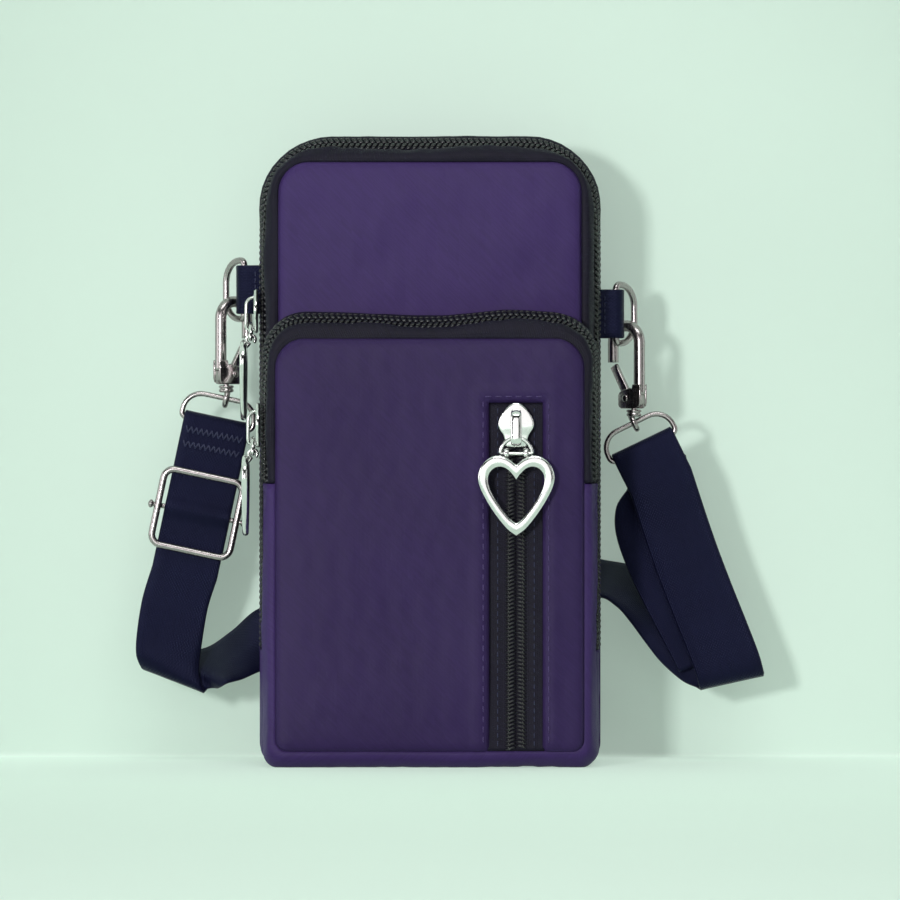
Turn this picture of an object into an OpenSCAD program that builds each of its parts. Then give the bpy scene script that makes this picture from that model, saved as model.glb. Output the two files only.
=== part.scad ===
/* [Body] */
// Width of the pouch
body_w = 102.6; // [90:0.2:125]
// Height of the pouch
body_h = 188; // [175:1:215]
// Depth of the main compartment
main_depth = 22; // [20:0.5:30]
// Depth of the front compartment
front_depth = 24; // [22:0.5:30]
// Thickness of the padded panels
panel_t = 2; // [1.4:0.1:2.4]
// Thickness of the gusset and zip tapes
tape_t = 1; // [0.7:0.1:1.3]
// Radius of the two top corners
top_r = 22; // [18:0.5:28]
// Radius of the two bottom corners
foot_r = 6; // [5:0.5:9]
// How far the flat main panels are drawn in from the zip
panel_inset = 6; // [4:0.5:8]

/* [Front compartment] */
// Height of the front compartment
front_h = 135; // [128:0.5:140]
// Radius of the top corners of the front compartment
front_top_r = 13; // [10:0.5:16]
// How far below the top of the front compartment its zip ends and the flap folds
fold_drop = 51; // [49:0.5:59]
// How far the front compartment stands in from the sides of the main one
front_inset = 1.2; // [0.8:0.1:2]
// How far the front flap folds down, in degrees
flap_open = 55; // [30:1:70]

/* [Zips] */
// Distance from one coil loop to the next on the two long zips
coil_pitch = 2.1; // [1.9:0.1:3.5]
// Width of one row of coils
coil_w = 2.6; // [2:0.1:3]
// Height of the coils above the tape
coil_h = 0.9; // [0.6:0.1:1.1]
// Depth of the gaps between coil loops
coil_cut = 0.6; // [0.4:0.05:0.7]
// Height at which the main zip ends on both sides
main_zip_end = 34; // [24:1:50]
// Running gap between pieces that move past each other
run_gap = 0.3; // [0.25:0.05:0.4]

/* [Pocket] */
// Distance of the pocket zip's centre from the front compartment's side
pocket_in = 24.6; // [22.6:0.2:28]
// Width of the pocket opening
pocket_w = 16.2; // [14:0.2:18]
// Lower end of the pocket opening
pocket_low = 5; // [5:0.5:12]
// Distance of the pocket opening's upper end below the top of the front compartment
pocket_drop = 27; // [23:0.5:28.5]
// Distance from one pocket tooth to the next
tooth_pitch = 3.2; // [2.8:0.1:4]
// Length of one pocket tooth
tooth_w = 2.2; // [1.8:0.1:2.4]
// Gap between the two rows of pocket teeth
tooth_gap = 1.6; // [1.2:0.1:2]
// Depth of the inner pocket bag
pocket_depth = 5; // [4.5:0.25:6]

/* [Pulls] */
// Width of a heart pull
heart_w = 22.8; // [18:0.2:23.4]
// Height of a heart pull
heart_h = 24; // [20:0.5:24.5]
// Depth of the notch at the top of the heart
heart_notch = 2.6; // [1.8:0.1:3.5]
// How far the heart's sides swell between its lobes and its tip
heart_swell = 1.2; // [0.4:0.1:1.6]
// Width of the heart's band at its sides
heart_band = 3.2; // [2:0.1:3.6]
// Thickness of the heart
heart_t = 2; // [1.4:0.1:2.4]
// Width of a slider
slider_w = 10.7; // [9:0.1:11.2]
// Length of a slider
slider_h = 13.2; // [12.6:0.1:14]
// Thickness of a slider's plate
slider_t = 1.2; // [1:0.1:1.4]
// Width of the bridge on a slider
bridge_w = 3.4; // [2.8:0.1:3.6]
// Thickness of the link's wire
link_wire = 1.2; // [1:0.05:1.3]
// Radius of the link's arch
link_r = 4.7; // [4.6:0.1:5]
// How far below the upper end of its opening the pocket slider carries its pull
pocket_pull_drop = 15.1; // [14.8:0.1:16]
// How far below the top of the front compartment its slider carries its pull
front_pull_drop = 42.1; // [37:0.1:43.1]
// Height of the main zip pull's hinge bar
main_pull_z = 127.2; // [122:0.2:128]

/* [Side hardware] */
// Height of the middle of the left tab
tab_left_z = 142.3; // [141.5:0.1:146]
// Height of the middle of the right tab
tab_right_z = 135; // [131:0.1:144]
// Width of the tab's webbing
tab_h = 14.7; // [12:0.1:15]
// Distance of the tabs' middle in front of the back
tab_in = 3; // [2.8:0.1:3.2]
// Thickness of the tab's webbing
tab_t = 1.2; // [1:0.1:1.3]
// Diameter of the D-ring's wire
dee_wire = 2; // [1.6:0.1:2.1]
// Height of the D-ring between wire centres
dee_h = 17.6; // [17.2:0.1:19]
// Radius of the D-ring's corners
dee_r = 6.5; // [5.5:0.1:7]
// Straight part of the D-ring before its corners
dee_stub = 2.3; // [2:0.1:3.5]
// Angle of the D-ring to the side, in degrees
dee_turn = 50; // [46:1:54]
// Width of the snap hook
hook_w = 13.4; // [13:0.1:14]
// Height of the snap hook
hook_h = 26.6; // [26:0.1:29]
// Width of the hook's metal
hook_bar = 3.3; // [2.8:0.1:3.4]
// Thickness of the hook's metal
hook_t = 3.6; // [3.2:0.1:4]
// Thickness of the gate
gate_t = 1.6; // [1.3:0.1:1.7]
// Radius of the gate's rivet
rivet_r = 0.7; // [0.6:0.05:0.8]
// Diameter of the strap ring's wire
ring_wire = 1.6; // [1.3:0.1:1.7]
// Length of the strap ring over all
ring_len = 23.4; // [23:0.1:25]
// Height of the strap ring between wire centres
ring_h = 8; // [7.6:0.1:9]

/* [Strap] */
// Width of the webbing
web_w = 20; // [18:0.5:20.2]
// Thickness of the webbing
web_t = 1.2; // [1:0.05:1.2]
// How far the strap lies spread out; the places along it are shares of this
lay_reach = 100; // [98:1:102]
// Width of the adjuster between wire centres
adj_w = 22.6; // [22.4:0.1:24]
// Height of the adjuster between wire centres
adj_h = 21.6; // [20:0.1:23]
// Diameter of the adjuster's wire
adj_wire = 1.6; // [1.3:0.1:1.6]

/* [Hidden] */
$fn = 32;
// Overrun of cuts and of pieces that join
eps = 0.1;
// Sides of a quarter circle in the outlines of the pouch
corner_steps = 8;
purple = [0.16, 0.12, 0.26];
navy = [0.07, 0.08, 0.14];
black = [0.06, 0.06, 0.09];
silver = [0.8, 0.8, 0.82];

// Places that follow from the sizes above
half_w = body_w / 2;
// The origin lies in the middle of the main compartment's base; its front panel's back face is at this depth
panel_share = 0.55;
panel_y = -main_depth * panel_share;
front_half = half_w - front_inset;
pocket_x = front_half - pocket_in;
fold_z = front_h - fold_drop;
pocket_top = front_h - pocket_drop;
pocket_pull_z = pocket_top - pocket_pull_drop;
front_pull_z = front_h - front_pull_drop;
// Share of the depth at which the main zip runs
main_zip_share = 0.45;
main_zip_y = panel_y + main_depth * main_zip_share;
front_zip_y = panel_y - panel_t - (front_depth - panel_t) / 2;
front_y = panel_y - front_depth;
back_y = panel_y + main_depth;
half_gap = run_gap / 2;
// Drop of the flat panels below the top of the zip
panel_drop = 8;
// Height of the seams above the floor
seam_z = 4.8;
panel_foot_r = 3.6;
front_panel_inset = 4.2;
front_panel_drop = 8;
// Where the gussets reach their full width, from the panels
slope_d = 6;
front_slope_d = 4;
tooth_h = 1.2;
tooth_slant = 0.8;

// Points of an arc, and of the outlines that the panels, gussets and zips share
function arc_pts(cx, cz, r, a0, a1) = [for (i = [0 : corner_steps])
    let (a = a0 + (a1 - a0) * i / corner_steps) [cx + r * cos(a), cz + r * sin(a)]];
function ring_path(hw, z0, z1, rt, rb) = concat(arc_pts(hw - rb, z0 + rb, rb, -90, 0),
    arc_pts(hw - rt, z1 - rt, rt, 0, 90), arc_pts(-hw + rt, z1 - rt, rt, 90, 180),
    arc_pts(-hw + rb, z0 + rb, rb, 180, 270));
function arch_path(hw, z0, z1, r) = concat([[-hw, z0]], arc_pts(-hw + r, z1 - r, r, 180, 90),
    arc_pts(hw - r, z1 - r, r, 90, 0), [[hw, z0]]);
function foot_path(hw, z0, z1, r) = concat([[-hw, z1]], arc_pts(-hw + r, z0 + r, r, 180, 270),
    arc_pts(hw - r, z0 + r, r, 270, 360), [[hw, z1]]);

// Paths of the main compartment, d inside its full size, and of its flat panels
function main_arch(d) = arch_path(half_w - d, main_zip_end, body_h - d, top_r - d);
function main_foot(d) = foot_path(half_w - d, d - coil_h, main_zip_end, foot_r - d);
function panel_arch(d) = arch_path(half_w - panel_inset - d, main_zip_end, body_h - panel_drop - d,
    top_r - panel_inset - d);
function panel_foot(d) = foot_path(half_w - panel_inset - d, seam_z + d, main_zip_end, panel_foot_r - d);
// The same for the front compartment, from height z up
function front_arch(d, z) = arch_path(front_half - d, z, front_h - d, front_top_r - d);
function front_foot(d) = foot_path(front_half - d, d - coil_h, fold_z, foot_r - d);
function flap_arch(d, z) = arch_path(front_half - front_panel_inset - d, z, front_h - front_panel_drop - d,
    front_top_r - front_panel_inset - d);
function flap_foot(d) = foot_path(front_half - front_panel_inset - d, seam_z + d, fold_z, panel_foot_r - d);

// A solid strip: each rail is a path and its depth, and the rails go round the strip's section
module strip(rails) {
    m = len(rails);
    n = len(rails[0][0]);
    pts = [for (i = [0 : n - 1]) for (r = rails) [r[0][i][0], r[1], r[0][i][1]]];
    sides = [for (i = [0 : n - 2]) for (j = [0 : m - 1])
        let (k = (j + 1) % m) each [[i * m + j, i * m + k, (i + 1) * m + k],
        [i * m + j, (i + 1) * m + k, (i + 1) * m + j]]];
    first = [[for (j = [0 : m - 1]) m - 1 - j]];
    last = [[for (j = [0 : m - 1]) (n - 1) * m + j]];
    polyhedron(points = pts, faces = concat(sides, first, last), convexity = 6);
}

// A flat panel standing in the XZ plane, its outer face at depth y0
module plate(path, y0, t) {
    translate([0, y0 + t, 0]) rotate([90, 0, 0]) linear_extrude(height = t) polygon(path);
}

// Place and outward direction at length s along an arch
function arch_at(s, hw, z0, z1, r) = let (l1 = z1 - r - z0, la = PI * r / 2, l2 = 2 * (hw - r))
    s <= l1 ? [[-hw, z0 + s], [-1, 0]] :
    s <= l1 + la ? (let (a = 180 - 90 * (s - l1) / la)
        [[-hw + r + r * cos(a), z1 - r + r * sin(a)], [cos(a), sin(a)]]) :
    s <= l1 + la + l2 ? [[-hw + r + s - l1 - la, z1], [0, 1]] :
    s <= l1 + 2 * la + l2 ? (let (a = 90 - 90 * (s - l1 - la - l2) / la)
        [[hw - r + r * cos(a), z1 - r + r * sin(a)], [cos(a), sin(a)]]) :
    [[hw, z1 - r - (s - l1 - 2 * la - l2)], [1, 0]];
function arch_len(hw, z0, z1, r) = 2 * (z1 - r - z0) + PI * r + 2 * (hw - r);

// One row of coils along an arch: toothed outside, smooth where it lies on the tape
module coil_row(hw, z0, z1, r, y0, shift) {
    total = arch_len(hw, z0, z1, r);
    count = floor(total / coil_pitch) - 1;
    p = total / (count + 1);
    // Shares of the pitch at which each loop's low point and crown lie, and their depth in the gap
    tooth_shares = [[0, 1], [0.3, 0], [0.7, 0]];
    outer = [for (k = [0 : count - ceil(shift)]) for (q = tooth_shares)
        let (at = arch_at((k + q[0] + shift) * p, hw, z0, z1, r)) at[0] - at[1] * q[1] * coil_cut];
    inner = arch_path(hw - coil_h, z0, z1 - coil_h, r - coil_h);
    n = len(inner);
    start = arch_at(0, hw - coil_cut, z0, z1 - coil_cut, r - coil_cut);
    end = [-start[0][0], start[0][1]];
    plate(concat(shift > 0 ? [start[0]] : [], outer, [end], [for (i = [1 : n]) inner[n - i]]), y0, coil_w);
}

module back_panel() color(purple)
    plate(ring_path(half_w - coil_h, 0, body_h - coil_h, top_r - coil_h, foot_r - coil_h),
        back_y - panel_t, panel_t);
module main_panel() color(purple)
    plate(ring_path(half_w - panel_inset, seam_z, body_h - panel_drop, top_r - panel_inset, panel_foot_r),
        panel_y - panel_t, panel_t);
module main_gusset() color(purple) strip([
    [panel_foot(0), panel_y], [main_foot(coil_h), panel_y + slope_d], [main_foot(coil_h), back_y - panel_t],
    [main_foot(coil_h + tape_t), back_y - panel_t], [main_foot(coil_h + tape_t), panel_y + slope_d],
    [panel_foot(tape_t), panel_y]]);
module main_tape_front() color(black) strip([
    [panel_arch(0), panel_y], [main_arch(coil_h), panel_y + slope_d], [main_arch(coil_h),
        main_zip_y - half_gap],
    [main_arch(coil_h + tape_t), main_zip_y - half_gap], [main_arch(coil_h + tape_t), panel_y + slope_d],
    [panel_arch(tape_t), panel_y]]);
module main_tape_rear() color(black) strip([
    [main_arch(coil_h), main_zip_y + half_gap], [main_arch(coil_h), back_y - panel_t],
    [main_arch(coil_h + tape_t), back_y - panel_t], [main_arch(coil_h + tape_t), main_zip_y + half_gap]]);
module main_coil_front() color(black)
    coil_row(half_w, main_zip_end, body_h, top_r, main_zip_y - half_gap - coil_w, 0);
module main_coil_rear() color(black)
    coil_row(half_w, main_zip_end, body_h, top_r, main_zip_y + half_gap, 0.5);

// Front compartment
front_back_y = panel_y - panel_t;
front_in_y = front_y + panel_t;
module front_gusset() color(purple) strip([
    [flap_foot(0), front_in_y], [front_foot(coil_h), front_in_y + front_slope_d],
    [front_foot(coil_h), front_back_y - slope_d], [flap_foot(0), front_back_y],
    [flap_foot(tape_t), front_back_y], [front_foot(coil_h + tape_t), front_back_y - slope_d],
    [front_foot(coil_h + tape_t), front_in_y + front_slope_d], [flap_foot(tape_t), front_in_y]]);
module front_tape_rear() color(black) strip([
    [front_arch(coil_h, fold_z), front_zip_y + half_gap], [front_arch(coil_h, fold_z),
        front_back_y - slope_d],
    [flap_arch(0, fold_z), front_back_y], [flap_arch(tape_t, fold_z), front_back_y],
    [front_arch(coil_h + tape_t, fold_z), front_back_y - slope_d],
    [front_arch(coil_h + tape_t, fold_z), front_zip_y + half_gap]]);
flap_z = fold_z + run_gap;
module front_tape_front() color(black) strip([
    [flap_arch(0, flap_z), front_in_y], [front_arch(coil_h, flap_z), front_in_y + front_slope_d],
    [front_arch(coil_h, flap_z), front_zip_y - half_gap],
    [front_arch(coil_h + tape_t, flap_z), front_zip_y - half_gap],
    [front_arch(coil_h + tape_t, flap_z), front_in_y + front_slope_d], [flap_arch(tape_t, flap_z),
        front_in_y]]);
module front_coil_rear() color(black)
    coil_row(front_half, fold_z, front_h, front_top_r, front_zip_y + half_gap, 0.5);
module front_coil_front() color(black)
    coil_row(front_half, flap_z, front_h, front_top_r, front_zip_y - half_gap - coil_w, 0);

// The front panel, cut for the pocket zip
module pocket_slot() translate([pocket_x - pocket_w / 2, front_y - eps, pocket_low])
    cube([pocket_w, panel_t + 2 * eps, pocket_top - pocket_low]);
module front_panel_lower() color(purple) difference() {
    plate(flap_foot(0), front_y, panel_t);
    pocket_slot();
}
module front_panel_upper() color(purple) difference() {
    plate(flap_arch(0, flap_z), front_y, panel_t);
    pocket_slot();
}

// Pocket tape between heights z0 and z1, at the back of the slot
module pocket_tape(z0, z1) color(black)
    translate([pocket_x - pocket_w / 2, front_in_y - tape_t, z0]) cube([pocket_w, tape_t, z1 - z0]);
// One column of slanted teeth beside a woven edge
module tooth_column(z0, z1, side) {
    x0 = tooth_gap / 2;
    x1 = x0 + tooth_w;
    edge = tooth_w / 3;
    count = floor((z1 - z0 - tooth_slant) / tooth_pitch);
    p = (z1 - z0) / count;
    // Shares of the pitch that a tooth's root, tip and next root take
    s = [0.12, 0.62];
    teeth = [for (k = [0 : count - 1]) each [[x1 - edge, z0 + (k + s[0]) * p], [x0, z0 + (k + s[0]) * p],
        [x0, z0 + (k + s[1]) * p - tooth_slant / 2], [x1 - edge, z0 + (k + s[1]) * p]]];
    mirror([side > 0 ? 0 : 1, 0, 0])
        plate(concat([[x1, z1], [x1, z0]], [[x1 - edge, z0]], teeth, [[x1 - edge, z1]]),
            front_in_y - tape_t - tooth_h, tooth_h);
}
module pocket_teeth(z0, z1) color(black) translate([pocket_x, 0, 0]) {
    tooth_column(z0, z1, 1);
    tooth_column(z0, z1, -1);
}
module pocket_tape_lower() pocket_tape(pocket_low, fold_z);
module pocket_tape_upper() pocket_tape(flap_z, pocket_top);
stop_h = 2;
module pocket_teeth_lower() pocket_teeth(pocket_low, fold_z);
module pocket_teeth_upper() pocket_teeth(flap_z, pocket_top - stop_h);
module pocket_stop() color(black) translate([pocket_x - tooth_w, front_in_y - tape_t - tooth_h,
    pocket_top - stop_h])
    cube([2 * tooth_w, tooth_h, stop_h]);
// The pocket's inner bag, open towards the zip
bag_left_share = 0.6;
module pocket_bag() color(black) {
    x0 = -front_half * bag_left_share;
    x1 = front_half - front_panel_inset - 3 * tape_t;
    z0 = seam_z + tape_t * 2;
    z1 = fold_z - tape_t;
    difference() {
        translate([x0, front_in_y, z0]) cube([x1 - x0, pocket_depth + tape_t, z1 - z0]);
        translate([x0 + tape_t, front_in_y - eps, z0 + tape_t])
            cube([x1 - x0 - 2 * tape_t, pocket_depth + eps, z1 - z0 - 2 * tape_t]);
    }
}

// Pulls. Each stands at its hinge bar: X along the bar, Z up, -Y away from the pouch
bridge_gap = link_wire + 2 * run_gap;
bridge_t = 1.1;
// Distance of the hinge bar from the face of the coils
pull_out = run_gap + slider_t + bridge_gap / 2;
bridge_foot = 1.2;
// Height of the link's top wire and of the bridge's lower foot above the hinge bar
link_top = link_r;
foot_top = sqrt(pow(link_r - link_wire / 2, 2) - pow(bridge_w / 2, 2)) - run_gap;
slider_low = foot_top - bridge_foot - 1.2 * run_gap;
// Half widths of the slider's plate, from its lower end to its upper end
slider_shares = [[0, 0.52], [0.04, 0.62], [0.16, 0.64], [0.28, 0.72], [0.4, 0.92], [0.5, 1], [0.6, 0.97],
    [0.72, 0.84], [0.84, 0.64], [0.94, 0.38], [1, 0.14]];
flange_h = 0.9;
module slider() color(silver) {
    n = len(slider_shares);
    right = [for (q = slider_shares) [q[1] * slider_w / 2, slider_low + q[0] * slider_h]];
    left = [for (i = [1 : n]) [-right[n - i][0], right[n - i][1]]];
    plate(concat(right, left), bridge_gap / 2, slider_t);
    // The bridge, an arch from the plate's foot to its upper half
    top = slider_low + 0.86 * slider_h;
    low = foot_top - bridge_foot;
    y0 = -bridge_gap / 2 - bridge_t;
    rotate([90, 0, 90]) translate([0, 0, -bridge_w / 2]) linear_extrude(height = bridge_w) difference() {
        bridge_outline(y0, bridge_gap / 2 + eps, low, top, bridge_t);
        bridge_outline(-bridge_gap / 2, bridge_gap / 2, low + bridge_foot, top - bridge_foot, 0.6 * bridge_t);
    }
}
// Outline of an arch from y0 to y1, with its outer corners cut
module bridge_outline(y0, y1, z0, z1, cut) polygon([[y1, z0], [y0 + cut, z0], [y0, z0 + cut],
    [y0, z1 - 2 * cut], [y0 + cut, z1], [y1, z1]]);
module link() color(silver) {
    rotate([90, 0, 0]) rotate_extrude(angle = 180) translate([link_r, 0]) circle(d = link_wire);
    translate([-link_r, 0, 0]) rotate([0, 90, 0]) cylinder(h = 2 * link_r, d = link_wire);
    for (s = [-1, 1]) translate([s * link_r, 0, 0]) sphere(d = link_wire);
}
// A heart w wide and h high with its tip at the origin: two round lobes over a foot with rounded sides
swell_shares = [0.08, 0.2, 0.35, 0.5, 0.65, 0.8, 0.9];
module heart_outline(w, h, notch, swell) {
    r = w / 2 + notch - sqrt(w * notch);
    c = [w / 2 - r, h - r];
    d = norm(c);
    side = atan(c[0] / c[1]) + asin(r / d);
    reach = sqrt(d * d - r * r);
    along = [sin(side), cos(side)];
    out = [cos(side), -sin(side)];
    for (s = [-1, 1]) mirror([s > 0 ? 0 : 1, 0]) {
        translate(c) circle(r = r);
        polygon(concat([[0, 0]], [for (t = swell_shares) along * reach * t + out * swell * 4 * t * (1 - t)],
            [along * reach, c, [0, h - notch]]));
    }
}
ear_t = 1.6;
ear_r = link_wire / 2 + run_gap + 0.75 * link_wire / 1.2;
heart_drop = 0.35;
heart_back = link_wire / 2 + 2 * run_gap;
module heart() color(silver) {
    hole_w = heart_w - 2 * heart_band;
    hole_h = heart_h * hole_w / heart_w - heart_band / 6;
    tip = -heart_drop - heart_h;
    rise = heart_h - hole_h - 1.1 * heart_band;
    translate([0, -heart_back, 0]) rotate([90, 0, 0]) linear_extrude(height = heart_t) difference() {
        translate([0, tip]) heart_outline(heart_w, heart_h, heart_notch, heart_swell);
        translate([0, tip + rise]) heart_outline(hole_w, hole_h, heart_notch * 1.4, heart_swell * 0.7);
    }
    // Ears behind the lobes that the link's bar runs through
    for (s = [-1, 1]) translate([s * link_r * 0.62 - ear_t / 2, 0, 0]) difference() {
        union() {
            rotate([0, 90, 0]) cylinder(h = ear_t, r = ear_r);
            translate([0, -heart_back - eps, -ear_r - heart_drop * 2])
                cube([ear_t, heart_back + eps, ear_r + heart_drop]);
        }
        translate([-eps, 0, 0]) rotate([0, 90, 0]) cylinder(h = ear_t + 2 * eps, r = link_wire / 2 + run_gap);
    }
}
module at_pocket() translate([pocket_x, front_in_y - tape_t - tooth_h - pull_out, pocket_pull_z]) children();
module at_front() translate([-front_half - pull_out, front_zip_y, front_pull_z]) rotate([0, 0,
    -90]) children();
module at_main() translate([-half_w - pull_out, main_zip_y, main_pull_z]) rotate([0, 0, -90]) children();
module pocket_slider() at_pocket() slider();
module pocket_link() at_pocket() link();
module pocket_heart() at_pocket() heart();
module front_slider() at_front() slider();
module front_link() at_front() link();
module front_heart() at_front() heart();
module main_slider() at_main() slider();
module main_link() at_main() link();
module main_heart() at_main() heart();

// A closed loop of wire in the XZ plane, w by h between wire centres, from its lower left corner,
// with corner radii r in the order lower left, lower right, upper right, upper left
module wire_loop(w, h, r, wire) {
    c = [[r[0], r[0], 180, 0], [w - r[1], r[1], 270, 1], [w - r[2], h - r[2], 0, 2], [r[3], h - r[3], 90, 3]];
    for (q = c) translate([q[0], 0, q[1]]) rotate([90, 0, 0]) rotate([0, 0, q[2]])
        rotate_extrude(angle = 90) translate([r[q[3]], 0]) circle(d = wire);
    rod([r[0], 0, 0], [w - r[1], 0, 0], wire);
    rod([w, 0, r[1]], [w, 0, h - r[2]], wire);
    rod([w - r[2], 0, h], [r[3], 0, h], wire);
    rod([0, 0, h - r[3]], [0, 0, r[0]], wire);
}
// A straight rod between two points
module rod(a, b, wire) {
    d = b - a;
    l = norm(d);
    if (l > 0) translate(a) rotate([0, acos(d[2] / l), atan2(d[1], d[0])]) cylinder(h = l, d = wire);
}

// Side hardware, made for the right side and mirrored for the left
dee_gap = run_gap;
tab_y = back_y - tab_in;
bar_x = half_w + dee_wire + tab_t + dee_gap + 0.6 * dee_wire;
bend = 1.5;
reach = dee_stub + 0.415 * dee_r;
hook_x = bar_x + reach * cos(dee_turn);
hook_y = tab_y + reach * sin(dee_turn);
// How far the wire at the hook lies below the D-ring's middle
sag = dee_h / 2 - dee_r + sqrt(pow(dee_r, 2) - pow(reach + hook_t / 2 - dee_stub, 2));
hook_drop = sag - 0.75 * dee_wire - run_gap + hook_h - hook_bar;
shaft_share = 0.22;
shaft_u = hook_w * shaft_share;
module tab(z) color(navy) translate([0, tab_y, z - tab_h / 2]) {
    inner = dee_wire / 2 + dee_gap;
    linear_extrude(height = tab_h) {
        for (s = [0, 1]) mirror([0, s]) translate([half_w - coil_h,
            inner]) square([bar_x - half_w + coil_h, tab_t]);
        translate([bar_x, 0]) intersection() {
            difference() {
                circle(r = inner + tab_t);
                circle(r = inner);
            }
            translate([0, -inner - tab_t]) square([inner + tab_t, 2 * (inner + tab_t)]);
        }
    }
}
module dee(z) color(silver) translate([bar_x, tab_y, z - dee_h / 2]) rotate([0, 0, dee_turn])
    wire_loop(dee_stub + dee_r, dee_h, [bend, dee_r, dee_r, bend], dee_wire);
// The hook stands in its own XZ plane: X across it, Z up from the foot of its base
module at_hook(z) translate([hook_x, hook_y, z - hook_drop]) rotate([0, 0, dee_turn - 90]) children();
bow_r = hook_w / 2;
bow_in = bow_r - hook_bar;
nose_z = hook_h * 0.52;
base_h = hook_h * 0.21;
rivet_z = base_h * 0.55;
rivet_x = hook_w * 0.06;
slot_t = gate_t + 2 * run_gap;
swivel_gap = run_gap;
shaft_r = 0.9;
shaft_l = 1.3;
barrel_h = 1.9;
barrel_r = 1.9;
eye_r = ring_wire / 2 + run_gap;
eye_t = 1.4;
eye_drop = swivel_gap + barrel_h + eye_r + 0.7 * eye_t;
// Outline of the hook's base and leg, with the outer side on the right
base_shares = [[0.5, 0.32], [0.5, 0.9], [0.25, 1.06], [0.2, 1.15], [-0.02, 1], [-0.14, 0.72], [-0.14, 0.2],
    [-0.05, 0], [0.36, 0]];
module hook(z) color(silver) at_hook(z) {
    difference() {
        translate([0, hook_t / 2, 0]) rotate([90, 0, 0]) linear_extrude(height = hook_t) {
            polygon([for (q = base_shares) [q[0] * hook_w, q[1] * base_h]]);
            translate([bow_in, base_h * 0.8]) square([hook_bar, hook_h - bow_r - base_h * 0.8]);
            translate([-bow_r, nose_z]) square([hook_bar, hook_h - bow_r - nose_z]);
            translate([0, hook_h - bow_r]) intersection() {
                difference() {
                    circle(r = bow_r);
                    circle(r = bow_in);
                }
                translate([-bow_r, 0]) square([2 * bow_r, bow_r]);
            }
        }
        // Slot and bore for the gate's foot
        translate([-hook_w, -slot_t / 2, -eps]) cube([hook_w * 1.22, slot_t, base_h * 1.3]);
        translate([rivet_x, hook_t, rivet_z]) rotate([90, 0, 0]) cylinder(h = 2 * hook_t, r = rivet_r);
    }
    translate([shaft_u, 0, -shaft_l]) cylinder(h = shaft_l + base_h * 0.3, r = shaft_r);
}
gate_r = rivet_r + run_gap + 0.5;
gate_top = nose_z - run_gap;
// Drop of the gate's outer corner, which swings past the nose
gate_slope = 0.38 * hook_bar;
module gate(z) color(silver) at_hook(z) translate([0, gate_t / 2, 0]) rotate([90, 0, 0])
    linear_extrude(height = gate_t) difference() {
        union() {
            translate([rivet_x, rivet_z]) circle(r = gate_r);
            polygon([[rivet_x - gate_r * 0.9, rivet_z + gate_r * 0.3], [rivet_x + gate_r * 0.9,
                rivet_z + gate_r * 0.3],
                [-bow_r + hook_bar * 0.95, gate_top], [-bow_r + hook_bar * 0.3, gate_top - gate_slope]]);
        }
        translate([rivet_x, rivet_z]) circle(r = rivet_r + run_gap);
    }
module rivet(z) color(silver) at_hook(z) translate([rivet_x, 0, rivet_z]) rotate([90, 0, 0]) {
    translate([0, 0, -hook_t / 2]) cylinder(h = hook_t, r = rivet_r);
    for (s = [0, 1]) mirror([0, 0, s]) translate([0, 0, hook_t / 2]) cylinder(h = rivet_r * 0.6,
        r = rivet_r * 1.6);
}
// Swivel: a barrel under the hook over an eye for the strap ring; tilt turns the eye with the ring
module swivel(z, tilt) color(silver) at_hook(z) translate([shaft_u, 0, 0]) {
    difference() {
        union() {
            translate([0, 0, -swivel_gap - barrel_h]) cylinder(h = barrel_h, r = barrel_r);
            translate([0, 0, -eye_drop]) rotate([0, 0, 90 - dee_turn]) rotate([0, -tilt, 0]) rotate([0,
                90, 0])
                rotate_extrude() translate([eye_r + eye_t / 2, 0]) circle(d = eye_t);
        }
        translate([0, 0, -shaft_l - run_gap]) cylinder(h = shaft_l + run_gap, r = shaft_r + run_gap);
    }
}
// Frame of the strap ring: its origin is the middle of the lower wire, X along it
swivel_x = hook_x + shaft_u * sin(dee_turn);
swivel_y = hook_y - shaft_u * cos(dee_turn);
module at_ring(z, tilt, shift) translate([swivel_x, swivel_y, z - hook_drop - eye_drop]) rotate([0, -tilt, 0])
    translate([shift, 0, -ring_h]) children();
ring_top_r = ring_h * 0.7;
module strap_ring(z, tilt, shift) color(silver) at_ring(z, tilt, shift)
    translate([-(ring_len - ring_wire) / 2, 0, 0])
        wire_loop(ring_len - ring_wire, ring_h, [bend, bend, ring_top_r, ring_top_r], ring_wire);
left_tilt = 12;
left_shift = 1.3;
right_tilt = 26;
right_shift = -0.5;
module left_tab() mirror([1, 0, 0]) tab(tab_left_z);
module left_dee() mirror([1, 0, 0]) dee(tab_left_z);
module left_hook() mirror([1, 0, 0]) hook(tab_left_z);
module left_gate() mirror([1, 0, 0]) gate(tab_left_z);
module left_rivet() mirror([1, 0, 0]) rivet(tab_left_z);
module left_swivel() mirror([1, 0, 0]) swivel(tab_left_z, left_tilt);
module left_ring() mirror([1, 0, 0]) strap_ring(tab_left_z, left_tilt, left_shift);
module right_tab() tab(tab_right_z);
module right_dee() dee(tab_right_z);
module right_hook() hook(tab_right_z);
module right_gate() gate(tab_right_z);
module right_rivet() rivet(tab_right_z);
module right_swivel() swivel(tab_right_z, right_tilt);
module right_ring() strap_ring(tab_right_z, right_tilt, right_shift);

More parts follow.
